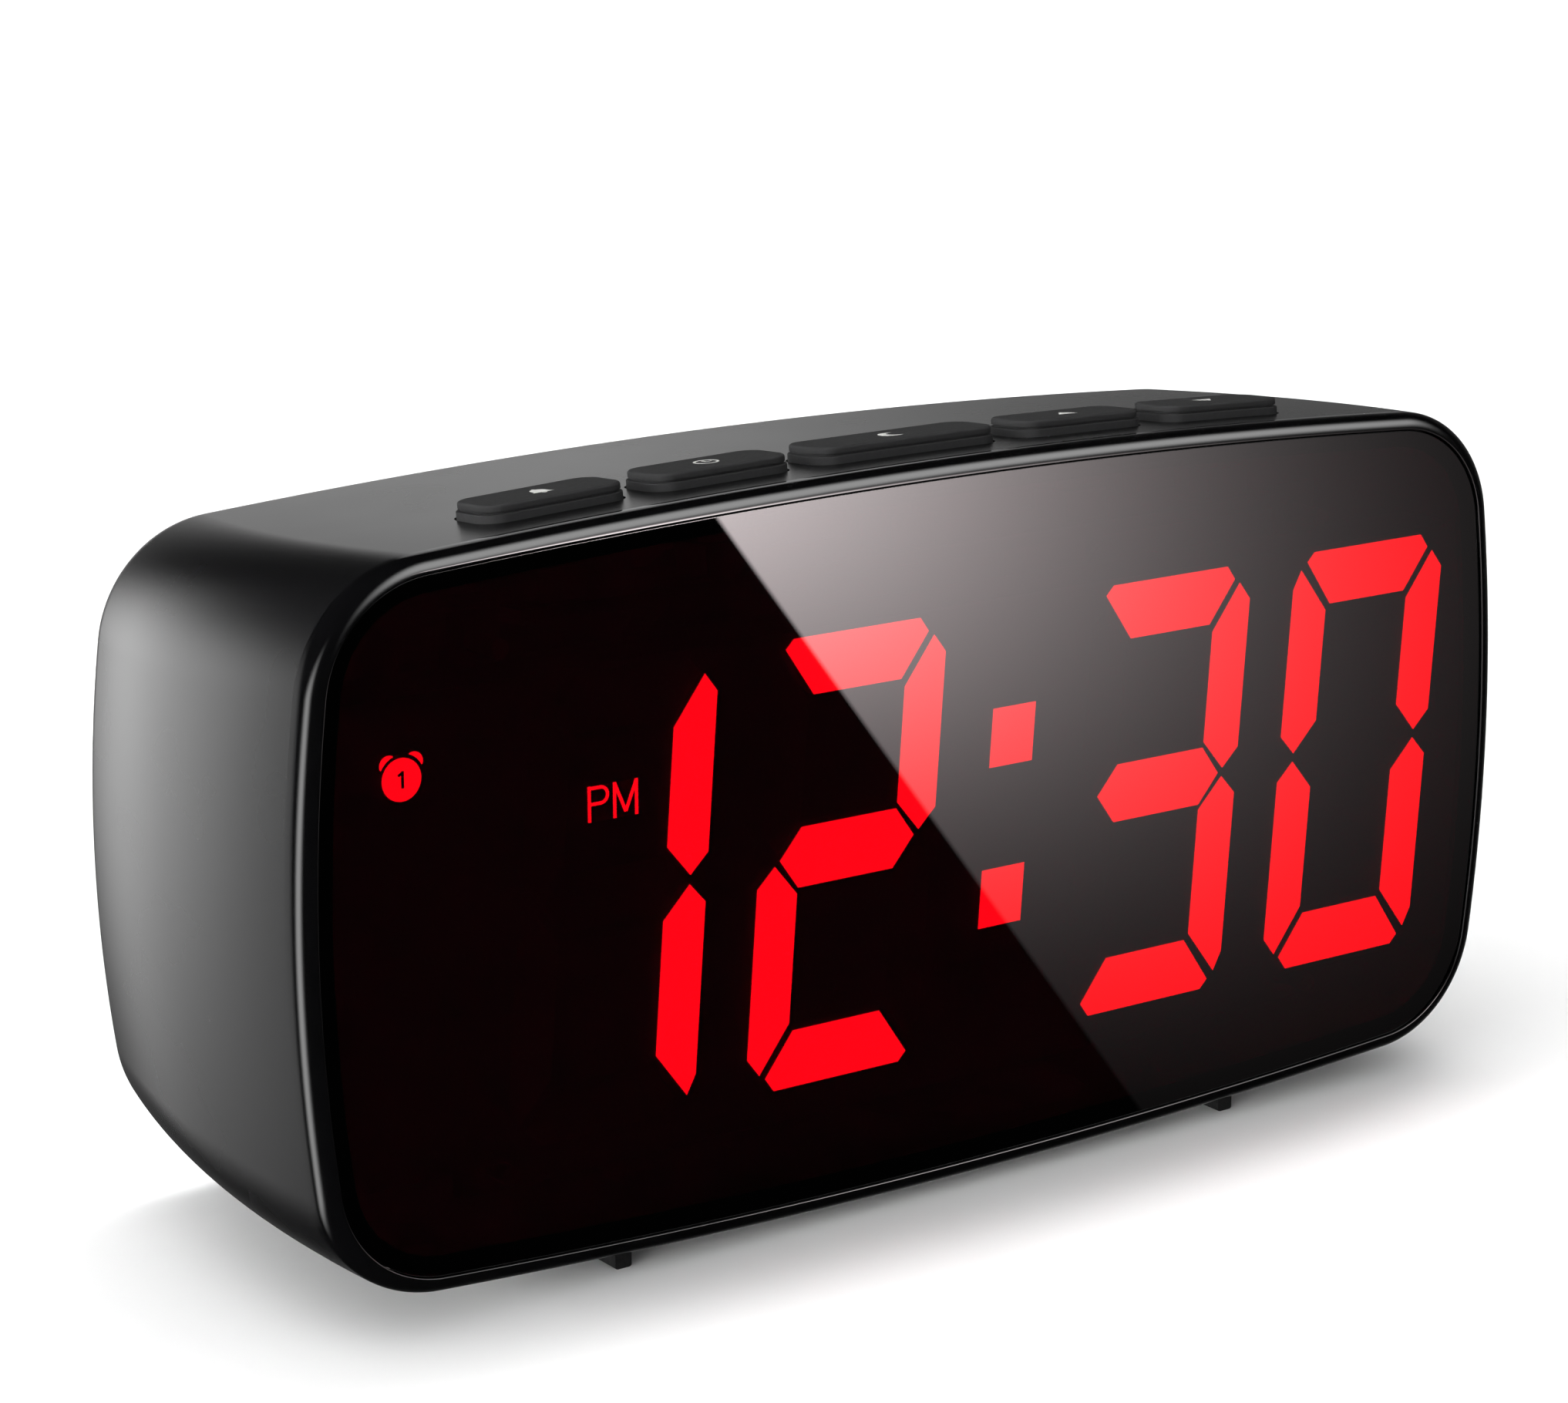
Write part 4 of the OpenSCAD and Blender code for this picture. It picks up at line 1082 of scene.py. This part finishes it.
@dataclass
class FrontRim:
    """The rim round the display with its lens."""

    case: CaseForm
    thickness: float = 2.5
    bead: float = 1.85
    width: float = 2.0
    ledge: float = 1.7
    ledge_in: float = 4.15
    spigot_in: float = 2.85
    spigot_end: float = 4.5
    lens_front: float = 0.3
    lens_back: float = 1.5
    lens_play: float = 0.1
    lens_edge: float = 0.1
    lens_back_in: float = 0.5
    lens_flat_in: float = 0.05
    lip: float = 0.05

    def rim_rows(self) -> Array:
        """Closed section of the rim: bead at the front, step for the lens, spigot behind.

        Returns:
            Rows of inset and depth, as (n, 2).
        """
        bead = arc((self.bead, self.bead), self.bead, 180, 270, 16)
        lip = arc((self.width - self.lip, self.lip), self.lip, 270, 360, 4)
        back = [
            [self.width, self.ledge],
            [self.ledge_in, self.ledge],
            [self.ledge_in, self.spigot_end],
            [self.spigot_in, self.spigot_end],
            [self.spigot_in, self.thickness],
            [0.0, self.thickness],
        ]
        return np.concatenate([bead, lip, back])

    def lens_rows(self) -> Array:
        """Section of the lens from its back to its rounded front edge.

        Returns:
            Rows of inset and depth, as (n, 2).
        """
        e, start = self.lens_edge, self.width + self.lens_play
        back = [[start + self.lens_back_in, self.lens_back], [start, self.lens_back]]
        edge = arc((start + e, self.lens_front + e), e, 180, 270, 6)
        return np.concatenate([back, edge, [[start + e + self.lens_flat_in, self.lens_front]]])

    def build(self) -> None:
        """Make the rim and the lens, whose outline doesn't change along its depth."""
        c = self.case
        rows = self.rim_rows()
        rim = loft(c.rings(c.front + rows[:, 1], rows[:, 0]), True)
        piece("rim", rim, RIM_ABS, "case", ["front_bezel"])
        rows = self.lens_rows()
        flat = c.rings(np.full(len(rows), c.front), rows[:, 0])
        flat[:, :, 1] = (c.front + rows[:, 1])[:, None]
        piece("lens_pane", loft(flat), SMOKED_ACRYLIC, "case", ["display_lens"])


def plates(case: CaseForm, spot: Spot, outlines: Sequence[Array], front: float, back: float) -> Skin:
    """Stand flat outlines upright behind the lens.

    Args:
        case: The case, which gives the middle of the front.
        spot: Place right of and above that middle.
        outlines: Closed outlines as (n, 2).
        front: Depth of the plates' front behind the rim's front.
        back: Depth of their back.

    Returns:
        One skin of prisms.
    """
    origin = [spot[0], case.front, case.middle + spot[1]]
    return joined([prism(o, -back, -front) for o in outlines]).placed(UPRIGHT, origin)


@dataclass(frozen=True)
class BarEnd:
    """Ends of a level and an upright bar at an outer corner of a digit, measured from that corner."""

    level_edge: float
    level_tip: Spot
    level_foot: float
    upright_tip: Spot
    upright_edge: float
    upright_foot: float


@dataclass
class DigitFilm:
    """Glowing film over the lit bars of the digits and over the colon, in front of their light pipes.

    Outlines are drawn about a digit's centre and then leaned to x + z tan(lean). Half a turn takes the upper
    half of a digit to its lower half, apart from the waist, which lies a little above the centre.
    """

    case: CaseForm
    shown: tuple[str, ...] = ("bc", "abdeg", "abcdg", "abcdef")
    centre: Spot = (8.18, -1.045)
    half_w: float = 11.82
    half_h: float = 25.29
    lean: float = 4.42
    pitch: float = 30.44
    pair: float = 44.39
    upright: float = 5.32
    level: float = 6.49
    waist: float = 0.8
    waist_level: float = 6.77
    waist_tip: float = 2.78
    waist_knee: float = 5.45
    tip: Spot = (2.15, 0.52)
    tip_outer: float = 2.74
    tip_inner: float = 4.03
    dot: Spot = (5.99, 6.74)
    dot_rise: float = 9.29
    blunt: BarEnd = BarEnd(3.8, (2.56, 1.59), 0.61, (1.71, 2.15), 4.19, 0.95)
    keen: BarEnd = BarEnd(2.89, (1.89, 1.08), 0.65, (1.02, 1.96), 4.14, 0.68)
    front: float = 1.9
    back: float = 2.0

    def level_bar(self) -> Array:
        """Outline of the top bar, blunt at its right end and keen at its left end.

        Returns:
            Points as (6, 2).
        """
        ends = []
        for end in (self.blunt, self.keen):
            drawn_in = [[end.level_edge, 0.0], end.level_tip, [self.upright + end.level_foot, self.level]]
            ends.append([self.half_w, self.half_h] - np.array(drawn_in))
        return np.concatenate([ends[0], ends[1][::-1] * [-1, 1]])

    def upright_bar(self, end: BarEnd, waist: float) -> Array:
        """Outline of the upper right bar.

        Args:
            end: How it ends at the corner.
            waist: Height of the waist at which it ends below.

        Returns:
            Points as (6, 2).
        """
        w, h = self.half_w, self.half_h
        return np.array(
            [
                [w - end.upright_tip[0], h - end.upright_tip[1]],
                [w, h - end.upright_edge],
                [w, waist + self.tip_outer],
                [w - self.tip[0], waist + self.tip[1]],
                [w - self.upright, waist + self.tip_inner],
                [w - self.upright, h - self.level - end.upright_foot],
            ]
        )

    def bars(self) -> dict[str, Array]:
        """Outlines of a digit's seven bars, before the lean.

        Returns:
            Points as (6, 2), by the bars' usual letters.
        """
        level, z = self.level_bar(), self.waist
        knee, tip, half = self.half_w - self.waist_knee, self.half_w - self.waist_tip, self.waist_level / 2
        return {
            "a": level,
            "b": self.upright_bar(self.blunt, z),
            "c": self.upright_bar(self.keen, -z) * [1, -1],
            "d": -level,
            "e": -self.upright_bar(self.blunt, -z),
            "f": self.upright_bar(self.keen, z) * [-1, 1],
            "g": np.array([[tip, 0], [knee, half], [-knee, half], [-tip, 0], [-knee, -half], [knee, -half]])
            + [0, z],
        }

    def build(self) -> None:
        """Make the film."""
        bars = self.bars()
        lean = np.array([[1.0, 0.0], [math.tan(math.radians(self.lean)), 1.0]])
        inner = self.pair / 2
        places = [-inner - self.pitch, -inner, inner, inner + self.pitch]
        lit = [bars[n] @ lean + [x, 0] for x, names in zip(places, self.shown) for n in names]
        dot = SQUARE * np.array(self.dot) / 2
        lit += [(dot + [0, self.waist + side * self.dot_rise]) @ lean for side in (-1, 1)]
        skin = plates(self.case, self.centre, lit, self.front, self.back)
        piece("digit_film", skin, LIT_RESIN, "case")


@dataclass
class DisplaySigns:
    """The lit alarm sign with its dark numeral, and the half-day letters beside the digits."""

    case: CaseForm
    front: float = 1.9
    back: float = 2.0
    sign: Spot = (-69.68, 16.4)
    dial_r: float = 2.28
    bell_at: float = 41.0
    bell_half: float = 21.0
    bell_gap: float = 0.42
    bell_t: float = 0.6
    numeral_t: float = 0.03
    mark: Spot = (-44.38, 10.1)
    mark_h: float = 3.9
    bowl_drop: float = 0.23
    waist: float = -0.02
    pen: float = 0.36

    def sign_outlines(self) -> list[Array]:
        """Outlines of the dial and its two bells.

        A bell lies between the radius r = dial_r + bell_gap and r + bell_t sin(s)^0.7, with s from one end of
        the bell to the other.

        Returns:
            Closed outlines as (n, 2).
        """
        inner, half, steps, blunt = self.dial_r + self.bell_gap, self.bell_half, 12, 0.12
        swell = 1 + self.bell_t / inner * np.sin(np.linspace(blunt, math.pi - blunt, steps)) ** 0.7
        made = [arc((0, 0), self.dial_r, 0, 355, 72)]
        for middle in (90 - self.bell_at, 90 + self.bell_at):
            rim = arc((0, 0), inner, middle + half, middle - half, steps)
            crown = arc((0, 0), inner, middle - half + 1, middle + half - 1, steps)
            made.append(np.concatenate([rim, crown * swell[:, None]]))
        return made

    def mark_outlines(self) -> list[Array]:
        """Outlines of the pen strokes of both half-day letters.

        Returns:
            Closed outlines as (n, 2).
        """
        top, low = self.mark_h / 2, self.waist
        high = top - self.bowl_drop
        bowl = arc((-1.5, (high + low) / 2), (high - low) / 2, 90, -90, 13)
        strokes = [
            [(-2.9, -top), (-2.9, top)],
            [(-2.9, high), (-1.5, high)],
            bowl,
            [(-2.9, low), (-1.5, low)],
            [(0.25, -top), (0.25, top)],
            [(0.25, top - 0.1), (1.62, -top + 0.55)],
            [(1.62, -top + 0.55), (2.98, top - 0.1)],
            [(2.98, -top), (2.98, top)],
        ]
        return [stroke(path, self.pen) for path in strokes]

    def build(self) -> None:
        """Make the alarm sign, its numeral and the letters."""
        lit = plates(self.case, self.sign, self.sign_outlines(), self.front, self.back)
        piece("alarm_sign", lit, LIT_RESIN, "case", ["display_signs"])
        one = [stroke([(0.08, -0.9), (0.08, 0.9)], 0.32), stroke([(-0.42, 0.45), (0.1, 0.78)], 0.26)]
        dark = plates(self.case, self.sign, one, self.front - self.numeral_t, self.front)
        piece("alarm_numeral", dark, REFLECTOR_PBT, "case")
        lit = plates(self.case, self.mark, self.mark_outlines(), self.front, self.back)
        piece("half_day_mark", lit, LIT_RESIN, "case")


class Innards:
    """Solids that keep their shape and only get a finish."""

    finishes: dict[Finish, tuple[str, ...]] = {
        FOAM_TAPE: ("lens_tape",),
        REFLECTOR_PBT: ("digit_reflector",),
        DARK_RESIN: ("lit_segments", "unlit_segments"),
        LAMP_EPOXY: ("segment_lamps",),
        BOARD_RESIST: ("main_board", "key_board"),
        CHIP_EPOXY: ("clock_chip", "sounder"),
        BRIGHT_STEEL: ("crystal", "jack_nut", "coin_cell"),
        SWITCH_NYLON: ("switch_bodies",),
        WHITE_POM: ("alarm_plunger", "set_plunger", "snooze_plunger", "up_plunger", "down_plunger"),
        SPRING_BRASS: ("positive_contact", "negative_contact"),
        SCREW_STEEL: ("case_screws", "key_board_screws", "display_screws"),
        GREY_SHEATH: ("key_ribbon",),
        BLACK_SHEATH: ("power_lead", "cell_lead"),
        RED_SHEATH: ("sounder_lead",),
    }

    def build(self) -> None:
        """Put each finish on its solids."""
        for finish, names in self.finishes.items():
            for name in names:
                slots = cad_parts[name].data.materials
                slots.clear()
                slots.append(finish.material())
                LOG.info("%s: dressed in %s", name, finish.name)


@dataclass(frozen=True)
class Lobe:
    """A soft patch of light far away, level exp(-((u / across)^2 + (v / upright)^2)^steep).

    For a direction d, u = d.side / d.centre and v = d.up / d.centre. Azimuth counts from +Y towards +X. The
    patch is turned by roll about its centre. Azimuth, elevation and roll are in degrees.
    """

    azimuth: float
    elevation: float
    across: float
    upright: float
    level: float
    steep: float = 1.0
    roll: float = 0.0

    def axes(self) -> tuple[Array, Array, Array]:
        """Unit vectors to its middle, to its side and up.

        Returns:
            Centre, side and up.
        """
        a, e, t = (math.radians(v) for v in (self.azimuth, self.elevation, self.roll))
        centre = np.array([math.sin(a) * math.cos(e), math.cos(a) * math.cos(e), math.sin(e)])
        side = np.array([math.cos(a), -math.sin(a), 0.0])
        up = np.cross(side, centre)
        return centre, math.cos(t) * side + math.sin(t) * up, math.cos(t) * up - math.sin(t) * side


@dataclass
class Studio:
    """Floor, light and camera.

    Reflections see soft cards on a dark ground, and all else is lit by a dome. Satin surfaces and mirrors
    share most cards, and each have some of their own.
    """

    case: CaseForm
    floor_half: float = 8.0
    dome: float = 0.5
    above: tuple[Lobe, ...] = (Lobe(-4.0, 80.7, 1.146, 0.105, 12.82), Lobe(-96.0, 12.7, 0.933, 0.08, 34.2))
    ground: float = 0.008
    shared: tuple[Lobe, ...] = (
        Lobe(-26.2, -0.6, 0.356, 0.321, 1.824, 1.41),
        Lobe(-40.4, -9.8, 0.624, 0.448, 0.814, 1.63),
        Lobe(-10.4, -3.7, 0.167, 0.382, 1.479, 1.47),
        Lobe(47.8, -15.8, 0.591, 0.617, 0.269, 0.7),
        Lobe(32.6, 24.3, 0.142, 0.308, 0.555, 3.5),
        Lobe(22.5, 0.3, 0.227, 0.166, 0.824, 1.54),
    )
    satin: tuple[Lobe, ...] = (Lobe(145.6, 25.6, 0.478, 0.38, 1.2, 1.6, -35.7),)
    mirror: tuple[Lobe, ...] = (
        Lobe(-109.6, -15.6, 0.203, 0.704, 5.39, 1.2, 37.3),
        Lobe(145.6, 25.6, 0.478, 0.38, 5.8, 1.6, -35.7),
    )
    lobe_limit: float = 0.05
    glare_level: float = 23.6
    glare_tint: str = "#fff3f4"
    glare_edge: tuple[float, float, float] = (0.74146, 0.36403, 0.56367)
    glare_along: tuple[float, float, float] = (-0.38323, -0.45982, 0.80106)
    glare_centre: tuple[float, float, float] = (0.5508, -0.80997, -0.20144)
    glare_terms: tuple[float, ...] = (-0.582, 1.363, 14.787, -145.6, -96.63, -83.8)
    glare_soft: float = 0.0006
    glare_limit: float = 0.9
    stand: tuple[float, float, float] = (-271.152, -351.895, 126.629)
    yaw: float = 35.1498
    pitch: float = 14.1686
    roll: float = -0.2487
    focal_px: float = 5382.9
    picture_px: float = 2034.0
    sensor_mm: float = 36.0

    def floor(self) -> None:
        """A wide sheet of white paper. Reflections show the cards and not the paper."""
        corners = np.column_stack([SQUARE, np.zeros(4)]) * self.floor_half
        mesh = bpy.data.meshes.new("paper_floor")
        mesh.from_pydata(corners.tolist(), [], [[0, 1, 2, 3]])
        mesh.materials.append(WHITE_PAPER.material())
        made = bpy.data.objects.new("paper_floor", mesh)
        bpy.context.scene.collection.objects.link(made)
        made.visible_glossy = False

    def light(self) -> None:
        """A white dome for the scene, and soft cards in the place of the dome for reflections."""
        world = bpy.data.worlds.new("studio")
        bpy.context.scene.world = world
        world.cycles.sampling_method = "NONE"
        world.use_nodes = True
        tree = world.node_tree
        tree.nodes.clear()
        way = add(tree, "ShaderNodeTexCoord").outputs["Generated"]
        path = add(tree, "ShaderNodeLightPath").outputs
        shared = self._lobes(tree, way, self.shared, self.ground)
        satin = self._lobes(tree, way, self.satin, shared)
        mirror = self._lobes(tree, way, self.mirror, shared)
        kinds = {0: path["Is Singular Ray"], 2: satin, 3: mirror}
        both = add(tree, "ShaderNodeMix", kinds, data_type="FLOAT")
        cards = add(tree, "ShaderNodeBackground", {"Color": (1, 1, 1, 1), "Strength": both.outputs[0]})
        glare = {"Color": linear(self.glare_tint), "Strength": self._glare(tree, way)}
        sheen = add(tree, "ShaderNodeBackground", glare)
        shine = add(tree, "ShaderNodeAddShader", {0: cards.outputs[0], 1: sheen.outputs[0]})
        white = self._lobes(tree, way, self.above, self.dome)
        plain = add(tree, "ShaderNodeMix", {0: path["Is Camera Ray"], 2: white, 3: 1.0}, data_type="FLOAT")
        dome = add(tree, "ShaderNodeBackground", {"Color": (1, 1, 1, 1), "Strength": plain.outputs[0]})
        ends = {0: path["Is Glossy Ray"], 1: dome.outputs[0], 2: shine.outputs[0]}
        whole = add(tree, "ShaderNodeMixShader", ends)
        add(tree, "ShaderNodeOutputWorld", {"Surface": whole.outputs[0]})

    def _lobes(self, tree: Tree, way: Socket, lobes: Sequence[Lobe], total: Socket | float) -> Socket:
        """Add the light of lobes to a total.

        Args:
            tree: The world's nodes.
            way: Direction of a ray.
            lobes: The lobes.
            total: Light so far.

        Returns:
            Light with the lobes.
        """
        limit = self.lobe_limit
        for lobe in lobes:
            centre, side, up = lobe.axes()
            ahead, u, v = (
                add(tree, "ShaderNodeVectorMath", {0: way, 1: axis}, operation="DOT_PRODUCT").outputs["Value"]
                for axis in (centre, side / lobe.across, up / lobe.upright)
            )
            front = add(tree, "ShaderNodeMath", {0: ahead, 1: limit}, operation="GREATER_THAN").outputs[0]
            depth = add(tree, "ShaderNodeMath", {0: ahead, 1: limit}, operation="MAXIMUM").outputs[0]
            off = add(tree, "ShaderNodeMath", {0: u, 1: u}, operation="MULTIPLY").outputs[0]
            off = add(tree, "ShaderNodeMath", {0: v, 1: v, 2: off}, operation="MULTIPLY_ADD").outputs[0]
            scale = add(tree, "ShaderNodeMath", {0: depth, 1: depth}, operation="MULTIPLY").outputs[0]
            power = add(tree, "ShaderNodeMath", {0: off, 1: scale}, operation="DIVIDE").outputs[0]
            power = add(tree, "ShaderNodeMath", {0: power, 1: lobe.steep}, operation="POWER").outputs[0]
            fade = add(tree, "ShaderNodeMath", {0: 1 / math.e, 1: power}, operation="POWER").outputs[0]
            level = add(tree, "ShaderNodeMath", {0: front, 1: lobe.level}, operation="MULTIPLY").outputs[0]
            ins = {0: fade, 1: level, 2: total}
            total = add(tree, "ShaderNodeMath", ins, operation="MULTIPLY_ADD").outputs[0]
        return total

    def _glare(self, tree: Tree, way: Socket) -> Socket:
        """Light of the card with one straight edge that shows as a sheen across the lens.

        With a across the edge and b along it, its light is
        level exp(c0 + c1 a + c2 b + c3 a^2 + c4 a b + c5 b^2) on the side where a is positive.

        Args:
            tree: The world's nodes.
            way: Direction of a ray.

        Returns:
            The card's light.
        """
        c0, c1, c2, c3, c4, c5 = self.glare_terms
        a, b, ahead = (
            add(tree, "ShaderNodeVectorMath", {0: way, 1: axis}, operation="DOT_PRODUCT").outputs["Value"]
            for axis in (self.glare_edge, self.glare_along, self.glare_centre)
        )
        slope = add(tree, "ShaderNodeMath", {0: a, 1: c3, 2: c1}, operation="MULTIPLY_ADD").outputs[0]
        slope = add(tree, "ShaderNodeMath", {0: b, 1: c4, 2: slope}, operation="MULTIPLY_ADD").outputs[0]
        power = add(tree, "ShaderNodeMath", {0: a, 1: slope, 2: c0}, operation="MULTIPLY_ADD").outputs[0]
        slope = add(tree, "ShaderNodeMath", {0: b, 1: c5, 2: c2}, operation="MULTIPLY_ADD").outputs[0]
        power = add(tree, "ShaderNodeMath", {0: b, 1: slope, 2: power}, operation="MULTIPLY_ADD").outputs[0]
        light = add(tree, "ShaderNodeMath", {0: power}, operation="EXPONENT").outputs[0]
        limit, soft = self.glare_limit, self.glare_soft
        near = add(tree, "ShaderNodeMath", {0: ahead, 1: limit}, operation="GREATER_THAN").outputs[0]
        ramp = {"Value": a, "From Min": -soft, "From Max": soft, "To Max": self.glare_level}
        edge = add(tree, "ShaderNodeMapRange", ramp).outputs[0]
        light = add(tree, "ShaderNodeMath", {0: light, 1: near}, operation="MULTIPLY").outputs[0]
        return add(tree, "ShaderNodeMath", {0: light, 1: edge}, operation="MULTIPLY").outputs[0]

    def camera(self) -> None:
        """A long lens from the front left, above the clock."""
        yaw, pitch, roll = (math.radians(v) for v in (self.yaw, self.pitch, self.roll))
        level = math.cos(pitch)
        ahead = np.array([math.sin(yaw) * level, math.cos(yaw) * level, -math.sin(pitch)])
        right = np.array([math.cos(yaw), -math.sin(yaw), 0.0])
        up = np.cross(right, ahead)
        x = math.cos(roll) * right + math.sin(roll) * up
        y = math.cos(roll) * up - math.sin(roll) * right
        place = (np.array(self.stand) + [0, self.case.front, self.case.middle]) * MM
        data = bpy.data.cameras.new("camera")
        data.sensor_fit = "HORIZONTAL"
        data.sensor_width = self.sensor_mm
        data.lens = self.focal_px / self.picture_px * self.sensor_mm
        data.clip_start, data.clip_end = 0.01, 50.0
        made = bpy.data.objects.new("camera", data)
        bpy.context.scene.collection.objects.link(made)
        made.matrix_world = Matrix(np.vstack([np.column_stack([x, y, -ahead, place]), [0, 0, 0, 1]]).tolist())
        bpy.context.scene.camera = made

    def build(self) -> None:
        """Set up the studio."""
        self.floor()
        self.light()
        self.camera()
        bpy.context.scene.view_settings.view_transform = "Standard"


def main() -> None:
    """Build the clock piece by piece, then the studio."""
    logging.basicConfig(level=logging.INFO, format="%(name)s: %(message)s")
    case = CaseForm()
    keys = KeyRow(case)
    fittings = BackFittings(case)
    skids = Skids(case)
    CaseShell(case, keys, fittings, skids).build()
    FrontRim(case).build()
    DigitFilm(case).build()
    DisplaySigns(case).build()
    keys.build()
    fittings.build()
    skids.build()
    Innards().build()
    Studio(case).build()


if __name__ == "__main__":
    main()
